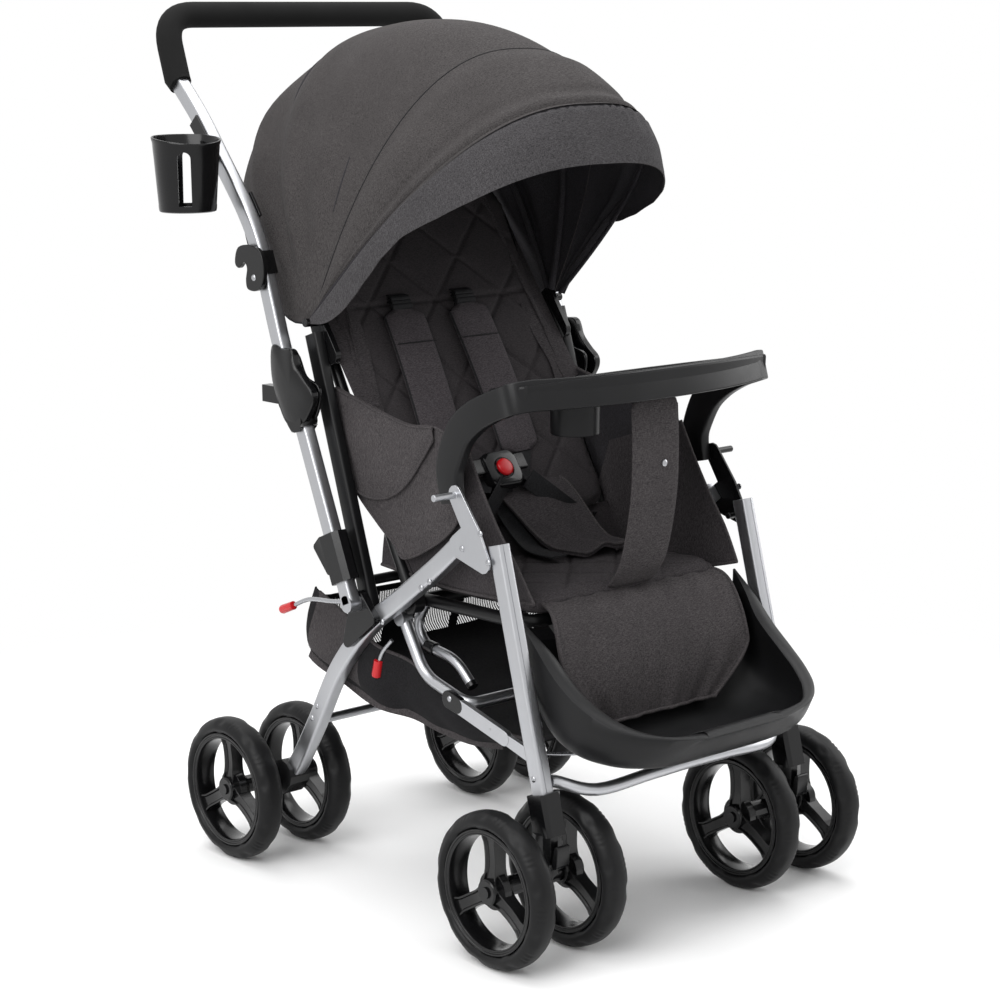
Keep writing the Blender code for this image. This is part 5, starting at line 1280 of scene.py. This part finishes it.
def settle_seat(point):
    x, y, z = point
    inside = ease(0.15 - abs(x), 0.0, 0.025) * ease(y, -0.205, -0.175) * (1 - ease(y, -0.02, 0.0))
    if z > SEAT_FACE_Z + 0.008:
        z -= 0.003 * seam_depth(x, y + 0.1, SEAT_QUILT_PERIOD) * inside
    return Vector((x, y, max(z, SEAT_FACE_Z + 0.0004)))


def strap(line, width, thick=BELT_THICK, side=X_AXIS):
    """Flat webbing along a line, with soft edges."""
    return sweep(line, box(width, thick, thick * 0.45, 4), side)


def padded_strip(line, width, thick, side=X_AXIS):
    """A soft strip whose face crowns between its two edges and rounds off at its ends."""
    section = [(squared(c, 0.45) * width / 2, squared(s, 0.75) * thick / 2) for c, s in disc(1, 36)]

    def taper(t):
        return 0.55 + 0.45 * math.sqrt(max(0.0, 1 - (1 - min(1.0, min(t, 1 - t) / 0.06)) ** 2))

    return sweep(line, section, side, taper)


def edge_cords(line, width, up, inset, skip):
    """Piping along the two edges of a strip."""
    cords = []
    for sign in (-1, 1):
        edge = [c + a * sign * (width / 2 - inset) + u * up for c, a, u in stations(line, X_AXIS)]
        cords.append(tube(edge[skip:-skip], 0.0013, 8))
    return cords


def make_pads():
    side = [back_at(BACK_TUBE_X, 0.011, 0), back_at(BACK_TUBE_X, BACK_L, 0)]
    bar = tube(rounded(there_and_back(side), 0.075, 14), BACK_TUBE_R, 18)
    ear = plate(hull([(*RECLINE_PIVOT, 0.0135), tuple(back_at(0, 0.03, 0))[1:] + (0.0085,)]), 0.1585, 0.162)
    radii = [(-0.008, 0.012), (-0.0074, 0.0135), (0.0074, 0.0135), (0.008, 0.012)]
    hub = lathe(radii, (BACK_TUBE_X, *RECLINE_PIVOT))
    shape = joined(bar, ear, mirrored(ear), hub, mirrored(hub))
    piece("backrest_tube", shape, BLACK_TUBE, "backrest", ["backrest_frame"], angle=45)

    outline = [(-0.162, 0.062), (0.162, 0.062), (0.162, 0.508), (-0.162, 0.508)]
    place = lambda p: (back_at(p.x, p.y, 0.0095), back_at(p.x, p.y, 0.0205))
    swollen("back_cushion", outline, 0.04, place, 0.006, settle_back, BACK_CLOTH, "backrest", "backrest_pad")
    outline = [(-0.15, -0.209), (0.15, -0.209), (0.15, -0.004), (-0.15, -0.004)]
    place = lambda p: [Vector((p.x, p.y, SEAT_FACE_Z + rise)) for rise in (0.005, 0.018)]
    swollen("seat_cushion", outline, 0.03, place, 0.007, settle_seat, SEAT_DARK, "chassis", "seat_pad")


def make_harness():
    face, low, high = HARNESS_FACE, 0.15, 0.345
    for name, x, drift in (("right", -0.062, -0.012), ("left", 0.037, 0.012)):
        line = []
        for t in [i / 24 for i in range(25)]:
            rise = face + 0.004 * math.sin(math.pi * t)
            line.append(back_at(x + drift * (1 - t) * 0.6, low + (high - low) * t, rise))
        pad = padded_strip(line, 0.06, 0.011)
        piece(f"shoulder_pad_{name}", pad, SHOULDER, "backrest", angle=70)
        cords = edge_cords(line, 0.06, 0.0012, 0.0008, 1)
        across = [back_at(x + s, 0.3, face + 0.0085) for s in (-0.029, 0.0, 0.029)]
        cords.append(padded_strip(across, 0.003, 0.0016, Y_AXIS))
        piece(f"pad_piping_{name}", joined(*cords), RIBBON, "backrest", angle=60)
        loops = []
        for k in range(3):
            arch = []
            for t in [i / 10 for i in range(11)]:
                rise = face - 0.004 + 0.0085 * math.sin(math.pi * t)
                arch.append(back_at(x, 0.342 + 0.0045 * k + 0.016 * t, rise))
            loops.append(strap(arch, 0.03 - 0.001 * k))
        end = Vector((x * 0.55, -0.004, 0.47))
        tail = curve([back_at(x + drift, 0.155, face), back_at(x * 0.8, 0.12, face + 0.004), end], 6)
        loops.append(strap(tail, 0.024))
        piece(f"shoulder_webbing_{name}", joined(*loops), RIBBON, "backrest", angle=50)
    belts = []
    for sign in (-1, 1):
        spots = ((0.018, -0.008, 0.474), (0.06, -0.02, 0.44), (0.105, -0.012, 0.412), (0.14, 0.01, 0.404))
        belts.append(strap(curve([(sign * x, y, z) for x, y, z in spots], 8), 0.024, side=Z_AXIS))
    piece("lap_belts", joined(*belts), RIBBON, "chassis", angle=50)


def make_crotch_strap():
    line = curve(side_line(CROTCH_LINE, 0), 8)
    made = piece("crotch_strap", padded_strip(line, 0.07, 0.0062), SEAT, "chassis", angle=70)
    cords = edge_cords(line, 0.07, 0.0, 0.0004, 2)
    piece("crotch_strap_piping", joined(*cords), SEAT, "chassis", angle=60)


def make_calf_flap():
    """The flap over the seat's front edge, piped, which hangs to the footrest."""
    centre = profile(CALF_LINE)
    halves = smoothed((0.13, 0.136, 0.14, 0.143, 0.138, 0.1))
    rows, n = [], len(centre)
    for i, ((c, a, u), half) in enumerate(zip(stations(centre, X_AXIS), halves)):
        t = i / (n - 1)
        row = []
        for j in range(61):
            s = j / 30 - 1
            wave = 0.0016 * math.sin(9 * s + 3 * t) * t + 0.001 * math.sin(23 * s + 8 * t)
            sag = -0.0035 * bell(s, -0.15, 0.22) * bump(t, 0.45, 0.4)
            corner = half * (1 - 0.16 * max(0.0, t - 0.72) / 0.28 * abs(s) ** 8)
            row.append(c + a * s * corner + u * (wave + sag))
        rows.append(row)
    shape, marks = cloth_shell(rows, 0.0042, (0, 0.4, 0.1), lined)
    flap = piece("calf_flap", shape, [SEAT, LINING], "chassis", angle=70, marks=marks)
    piece("calf_flap_piping", tube(border_of(rows), 0.0022, 10), SEAT, "chassis", angle=60)


def make_wings():
    """The side wings and the flaps over them: sheets between two edges, with folds pushed outwards."""

    def lower_folds(s, v):
        dip = 0.0016 * math.sin(14 * s + 5 * v) * math.sin(math.pi * v)
        return 0.0005 + dip + 0.002 * bump(v, 0.5, 0.5) * bump(s, 0.45, 0.5)

    def flap_folds(s, v):
        crease = -0.003 * bell(s, 0.48 + 0.1 * v, 0.03) * bump(v, 0.42, 0.36)
        puff = 0.0034 * math.sin(math.pi * min(1, v * 1.1)) * math.sin(math.pi * s) ** 0.6
        return 0.002 + puff + crease + 0.0007 * math.sin(19 * s + 7 * v)

    for name, top, low, x, folds in (
        ("side_wing", WING_TOP, WING_LOW, 0.1735, lower_folds), ("wing_flap", WING_TOP[:4], WING_HEM, 0.1755, flap_folds),
    ):
        top, low = (evenly(profile(edge), 61) for edge in (top, low))

        def place(v, s):
            a, b = top[round(s * 60)], low[round(s * 60)]
            return Vector((x + folds(s, v), *tuple(a.lerp(b, v))[1:]))

        rows = sheet_rows(31, 61, place)
        shape, marks = cloth_shell(rows, 0.0014, (0, 0, 0.5), lined)
        hem = joined(tube(rows[-1], 0.0016, 8), tube(rows[0], 0.0015, 8))
        for side, sign in SIDES.items():
            own, cord = (shape, hem) if sign > 0 else (mirrored(shape), mirrored(hem))
            made = piece(f"{name}_{side}", own, [SEAT, LINING], None, angle=70, marks=marks)
            cord = piece(f"{name}_hem_{side}", cord, SEAT, None, angle=60)
            for one in (made, cord):
                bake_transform(one)


make_pads()
make_harness()
make_crotch_strap()
make_calf_flap()
make_wings()


# Side curtains and the seat's inner sides, buckle, basket

SEAT_SIDE_FRONT = [(-0.1164, 0.54), (-0.1379, 0.5009), (-0.1643, 0.46), (-0.1925, 0.423), (-0.216, 0.385)]
SEAT_SIDE_REAR = [(0.01, 0.5), (0.03, 0.44), (0.045, 0.388)]
BUCKLE_TOP = Vector((-0.014, -0.002, 0.49))
BUCKLE_UP = Vector((0, math.sin(math.radians(36)), math.cos(math.radians(36))))
BUCKLE_OUT = X_AXIS.cross(BUCKLE_UP)
BUTTON = [(0, 0), (0, 0.0108), (0.0006, 0.011), (0.003, 0.0108), (0.0042, 0.0098), (0.0049, 0.007), (0.005, 0)]
BASKET_RIM = [
    (0.152, 0.345), (0.147, 0.343), (0.088, 0.32), (0.034, 0.296), (0.0, 0.279), (-0.045, 0.257), (-0.1, 0.24),
    (-0.15, 0.229), (-0.198, 0.226),
]
BASKET_FLOOR = [
    (0.158, 0.33), (0.199, 0.237), (0.118, 0.21), (0.055, 0.197), (0.012, 0.191), (-0.038, 0.188), (-0.09, 0.191),
    (-0.145, 0.203), (-0.194, 0.219),
]
BASKET_HALF_W = [0.179, 0.1812, 0.1812, 0.1812, 0.1585, 0.156, 0.156, 0.156, 0.15]
HOOK = [
    (0.1951, 0.7535), (0.1755, 0.7466), (0.1685, 0.7262), (0.1732, 0.7085), (0.1855, 0.7006), (0.2016, 0.7017),
    (0.2051, 0.712), (0.2024, 0.7262), (0.2082, 0.7328), (0.2187, 0.7251), (0.2265, 0.7316), (0.2195, 0.7496),
]
LEG_RIVETS = [(-0.0852, 0.3941), (-0.0708, 0.3848), (0.001, 0.3325), (0.13, 0.206), (0.1405, 0.189)]
BRACKET_RIVETS = [(-0.1465, 0.442), (-0.1774, 0.4633), (-0.1903, 0.4333)]
DOME_PROFILE = [(-0.0004, 0.0037), (0.0004, 0.0036), (0.0012, 0.0026), (0.0016, 0.001), (0.0016, 0.0)]
DOME = lathe(DOME_PROFILE, (0, 0, 0), Z_AXIS, 16)
STUD = [(-0.2343, 0.0), (-0.2341, 0.0024), (-0.2332, 0.0038), (-0.225, 0.0038), (-0.225, 0)]
LATCH_CAP = [(-0.009, 0.0045), (-0.0085, 0.0055), (0.01, 0.0058), (0.012, 0.0052), (0.013, 0.0036), (0.0132, 0)]
WIRE = [
    (-0.177, -0.219, 0.302), (-0.1765, -0.2457, 0.2612), (-0.1765, -0.2362, 0.244), (-0.173, -0.244, 0.2275),
    (-0.16, -0.247, 0.2235), (-0.12, -0.248, 0.216), (-0.07, -0.248, 0.208),
]


def make_side_cloths():
    """Gathered cloth from the backrest to the uprights, and the seat's sides with piped front edges."""
    front, rear = (evenly(profile(edge), 33) for edge in (SEAT_SIDE_FRONT, SEAT_SIDE_REAR))
    for side, sign in SIDES.items():
        own = (lambda shape: shape) if sign > 0 else mirrored

        def curtain(v, t):
            near = Vector((0.1735, 0.072 + 0.128 * v, 0.575 + 0.175 * v))
            far = back_at(0.158 - 0.034 * v, 0.215 + 0.3 * v, 0.026)
            fold = 0.011 * math.sin(math.pi * t) * math.sin(15 * t + 2.6 * v + (0 if sign < 0 else 1.3))
            crumple = 0.004 * math.sin(9 * t + 17 * v) * math.sin(math.pi * t) * (0.4 if sign < 0 else 1)
            return near.lerp(far, t) + Vector((-0.02 * math.sin(math.pi * t) + fold + crumple, 0, 0))

        def seat_side(v, t):
            x = 0.169 - 0.004 * t + 0.0018 * math.sin(8 * t + 4 * v) * math.sin(math.pi * t) - 0.006 * v**3
            point = rear[round(v * 32)].lerp(front[round(v * 32)], t)
            drop = (-0.006 if sign < 0 else -0.024) * math.sin(math.pi * t) * v
            return Vector((x, point.y, point.z + drop))

        shape, _ = cloth_shell(sheet_rows(61, 49, curtain), 0.0012, (0.4, 0, 0.6))
        made = piece(f"side_curtain_{side}", own(shape), SEAT_DARK, None, angle=70)
        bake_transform(made)
        rows = sheet_rows(33, 41, seat_side)
        shape, _ = cloth_shell(rows, 0.0016, (0, 0, 0.45))
        made = piece(f"seat_side_{side}", own(shape), SEAT_DARK, "chassis", angle=70)
        cord = own(joined(tube([row[-1] for row in rows], 0.0016, 8), tube(rows[-1], 0.0022, 8)))
        piece(f"seat_side_piping_{side}", cord, SEAT, "chassis", slot="lining_cloth", angle=60)


def make_lumbar():
    """The cloth that joins the seat cushion's rear edge to the foot of the backrest."""
    line = curve([(0, -0.045, 0.38), (0, 0.0, 0.384), back_at(0, 0.012, 0.012), back_at(0, 0.075, 0.01)], 10)
    rows = []
    for i, p in enumerate(line):
        shares = [j / 20 - 1 for j in range(41)]
        rows.append([Vector((0.164 * s, p.y, p.z + 0.0015 * math.sin(9 * s + i * 0.3))) for s in shares])
    shape, _ = cloth_shell(rows, 0.0014, (0, -0.2, 0.6))
    made = piece("lumbar_cloth", shape, BACK_CLOTH, None, angle=70)
    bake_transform(made)


def on_buckle(u, v, h):
    return BUCKLE_TOP + X_AXIS * u + BUCKLE_UP * v + BUCKLE_OUT * h


def make_buckle():
    """Five-point buckle: a moulded body with two arms, its red release button in the middle."""
    loops = []
    for h, grow in ((-0.015, -0.002), (-0.0135, 0.0), (-0.003, 0.0), (-0.0008, -0.0012), (0.0, -0.0035)):
        loops.append([on_buckle(u, v, h) for u, v in box(0.05 + 2 * grow, 0.046 + 2 * grow, 0.012, 6)])
    well = [(-0.008, 0.0), (-0.008, 0.0114), (0.002, 0.0114), (0.002, 0.0)]
    body = solved("DIFFERENCE", prism(loops), lathe(well, BUCKLE_TOP, BUCKLE_OUT, 40))
    ring = [(-0.001, 0.0135), (0.001, 0.0135), (0.0014, 0.0128), (0.001, 0.0121), (-0.001, 0.0121)]
    parts = [body, lathe(ring, BUCKLE_TOP, BUCKLE_OUT, 40, loop=True)]
    for sign in (1, -1):
        section = box(0.02, 0.006, 0.002)
        spots = [sign * far for far in (0.02, 0.036, 0.04)]
        parts.append(prism([[on_buckle(u, 0.008 + v, -0.0075 + h) for v, h in section] for u in spots]))
    piece("buckle_body", joined(*parts), GLOSS, "chassis", ["buckle"], angle=40)
    dome = lathe(BUTTON, BUCKLE_TOP, BUCKLE_OUT, 40)
    piece("release_button", dome, RED, "buckle_button_body", ["buckle_button"], angle=50)
    foot, root = Vector((-0.014, -0.098, 0.3975)), on_buckle(0, -0.018, -0.0075)
    line = curve([root, root + Vector((0, 0.006, -0.03)), foot + Vector((0, 0.05, 0.004)), foot], 8)
    piece("buckle_strap", strap(line, 0.025, 0.0022), RIBBON, "chassis", angle=50)

    def lap_point(v, share):
        s = 2 * share - 1
        z = 0.47 - 0.066 * ease(v, 0.0, 0.75) + 0.002 * math.sin(6 * s + 3 * v) - 0.006 * s * s
        return Vector((0.03 + s * (0.06 * (1 - 0.35 * v)) + 0.03 * v, 0.02 - 0.125 * v, z))

    rows = sheet_rows(25, 31, lap_point)
    shape, _ = cloth_shell(rows, 0.005, (0.03, -0.05, 0.2))
    piece("lap_pad", shape, SEAT_DARK, "chassis", angle=70)
    piece("lap_pad_piping", tube(border_of(rows), 0.0018, 8), SEAT, "chassis", slot="lining_cloth", angle=60)


def make_basket():
    """A sewn basket that sags below its rails: dark cloth, a melange rear panel, net windows and a bound edge."""
    steps, first = 64, 9
    rows = []
    for i, (top, low, half) in enumerate(zip(profile(BASKET_RIM), profile(BASKET_FLOOR), smoothed(BASKET_HALF_W))):
        row = []
        for turn in [math.pi * j / steps for j in range(steps + 1)]:
            x = half * squared(math.cos(turn), TUB_POWER)
            point = top.lerp(low, math.sin(turn) ** TUB_POWER)
            row.append(Vector((x, point.y, point.z - 0.0035 * (1 - (x / half) ** 2) * ease(i, 8, 20))))
        rows.append(row)

    def lift(i, j):
        side = abs(rows[i][j].x) > 0.15
        return 0.0012 * math.sin(i * 0.55 + j * 0.35) * (1.0 if side else 0.6) * min(1, j / 4, (steps - j) / 4)

    def kinds(i, j):
        high, far = min(j, steps - 1 - j), abs(rows[i][j].x)
        if i < 0:
            return 0
        if 9 <= i <= 19 and high < 9:
            return 1
        rear = 1 <= i < 7 and (0.01 < far < 0.066 or 0.078 < far < 0.15)
        side = 5 <= i <= 12 and 9 <= high < 14 or rows[i][j].x > 0.1 and 20 <= i <= 34 and 1 <= high < 8
        return 2 if rear or side else 0

    shape, marks = cloth_shell(rows, 0.0016, (0, 0, 0.33), kinds, lift, see_through=2)
    made = piece("basket_cloth", shape, [BASKET, SEAT, NET], "chassis", ["basket"], angle=70, marks=marks)
    parts = []
    for j in (12, steps - 12):
        line = [rows[i][j] + Vector((math.copysign(0.0016, rows[i][j].x), 0, 0)) for i in range(first, 57)]
        parts.append(strap(line, 0.0012, 0.011))
    parts += [tube([row[j] for row in rows[first:]], 0.002, 8) for j in (0, steps)]
    hem = piece("basket_binding", joined(*parts), SEAT, "chassis", slot="lining_cloth", angle=50)
    for one in (made, hem):
        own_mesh(one)


make_side_cloths()
make_lumbar()
make_buckle()
make_basket()


# Rivets, hook, clips and small wires


def rivet_places(sign, x, spots):
    return [((sign * x, y, z), (sign, 0, 0), (0, 1, 0)) for y, z in spots]


def make_rivets():
    legs, fronts = [], []
    for sign in (1, -1):
        legs += rivet_places(sign, 0.1986, LEG_RIVETS) + rivet_places(sign, 0.2019, BRACKET_RIVETS)
        legs += rivet_places(sign, 0.2073, [HANDLE_PIVOT])
        fronts += rivet_places(sign, 0.1986, [(-0.258, 0.2054)])
    repeated("leg_rivets", DOME, legs, STEEL, "chassis")
    repeated("front_leg_rivets", DOME, fronts, STEEL, "front_legs")
    for side, sign in SIDES.items():
        spots = rivet_places(sign, 0.1815, [(-0.0975, 0.2585)])
        repeated(f"link_rivet_{side}", DOME, spots, STEEL, f"fold_link_body_{side}")


def make_small_parts():
    stud = lathe(STUD, (0, 0.1885, 0.716), X_AXIS, 24)
    piece("hook_rivet", stud, STEEL, "handle_upper_body", angle=60)
    hook = plate([tuple(p)[1:] for p in profile(HOOK, 5, True)], -0.2325, -0.2265)
    collar = sweep(handle_part(0.706, 0.748, 0.3), box(0.0215, 0.0255, 0.005), X_AXIS)
    piece("bag_hook", joined(hook, collar), GLOSS, "handle_upper_body", bevel=0.001, angle=40)
    section = [(0.0082, -0.0104), (0.0118, -0.0104), (0.0118, 0.007), (0.0082, 0.007)]
    band = sweep(handle_part(0.78, 0.815, 0.3), section, X_AXIS)
    piece("strap_clip", band, GLOSS, "handle_upper_body", bevel=0.0006)
    piece("footrest_wire", tube(curve(WIRE, 8), 0.002, 10), STEEL, "chassis", angle=60)
    pull = curve([(-0.176, 0.012, 0.305), (-0.178, 0.026, 0.29), (-0.179, 0.033, 0.276)], 6)
    piece("latch_rod", tube(pull, 0.0024, 10), STEEL, "chassis", angle=60)
    cap = lathe(LATCH_CAP, (-0.179, 0.0357, 0.2692), Vector((0, 0.25, -0.97)).normalized(), 28)
    piece("latch_cap", cap, RED, "chassis", angle=40)
    snap = [(-0.001, 0.004), (0.0012, 0.0038), (0.002, 0.0026), (0.0022, 0.0)]
    piece("strap_snap", lathe(snap, (0.01, -0.245, 0.524), -Y_AXIS, 24), STEEL, "chassis", angle=45)


make_rivets()
make_small_parts()


# Camera, light and floor

CAMERA_AT = (-1.84315, -2.15483, 1.00185)
CAMERA_RIGHT = (0.75519, -0.65546, -0.00753)
CAMERA_UP = (0.13062, 0.13922, 0.98161)
CAMERA_BACK = (-0.64236, -0.74229, 0.19075)
FLOOR_REACH = 14


def make_camera():
    data = bpy.data.cameras.new("camera")
    data.lens = 87.908
    data.sensor_width = 36
    data.clip_start = 0.1
    data.clip_end = 60
    camera = linked("camera", data)
    turn = Matrix((CAMERA_RIGHT, CAMERA_UP, CAMERA_BACK)).transposed().to_4x4()
    camera.matrix_world = Matrix.Translation(CAMERA_AT) @ turn
    bpy.context.scene.camera = camera


def make_light(name, place, aim, size, power):
    data = bpy.data.lights.new(name, "AREA")
    data.shape = "RECTANGLE"
    data.size, data.size_y = size
    data.energy = power
    light = linked(name, data)
    light.location = place
    light.rotation_euler = (Vector(aim) - Vector(place)).to_track_quat("-Z", "Y").to_euler()


def seen_directly(tree):
    """1 for what the camera sees, also in metal and through glass, and 0 for light on the object."""
    path = add(tree, "ShaderNodeLightPath").outputs
    glossy = computed(tree, "MAXIMUM", path["Is Camera Ray"], path["Is Glossy Ray"])
    return computed(tree, "MAXIMUM", glossy, path["Is Transmission Ray"])


def mixed_shader(tree, factor, first, second):
    return add(tree, "ShaderNodeMixShader", {0: factor, 1: first, 2: second}).outputs[0]


def make_stage():
    world = bpy.data.worlds.new("studio")
    bpy.context.scene.world = world
    world.use_nodes = True
    tree = world.node_tree
    tree.nodes.clear()
    white, fill = (
        add(tree, "ShaderNodeBackground", {"Color": (1, 1, 1, 1), "Strength": strength}).outputs[0]
        for strength in (1.0, 0.62)
    )
    add(tree, "ShaderNodeOutputWorld", {"Surface": mixed_shader(tree, seen_directly(tree), fill, white)})

    made, tree = new_material("pale_floor")
    paper = principled(tree, {"Base Color": colour("#f7f7f7"), "Roughness": 0.9, "Specular IOR Level": 0.1})
    place = add(tree, "ShaderNodeTexCoord").outputs["Object"]
    away = add(tree, "ShaderNodeVectorMath", {0: place}, operation="LENGTH").outputs["Value"]
    far = mapped(tree, away, 0.55, 1.35, 0.0, 1.0, interpolation_type="SMOOTHSTEP")
    shown = computed(tree, "MULTIPLY", far, seen_directly(tree))
    white = add(tree, "ShaderNodeEmission", {"Color": (1, 1, 1, 1), "Strength": 1.0}).outputs[0]
    surface(tree, mixed_shader(tree, shown, paper, white))
    mesh = bpy.data.meshes.new("floor")
    corners = [(x * FLOOR_REACH, y * FLOOR_REACH, 0) for x, y in ((-1, -1), (1, -1), (1, 1), (-1, 1))]
    mesh.from_pydata(corners, [], [(0, 1, 2, 3)])
    mesh.materials.append(made)
    linked("floor", mesh)

    make_light("key_light", (-2.7, -0.9, 2.5), (0, 0, 0.5), (2.6, 2.6), 92)
    make_light("top_light", (0.3, 0.4, 3.4), (0, 0, 0.4), (3.4, 3.4), 92)
    make_light("side_light", (2.6, -0.9, 1.6), (0, 0, 0.5), (1.6, 2.2), 28)
    bpy.context.scene.view_settings.view_transform = "Standard"


make_camera()
make_stage()
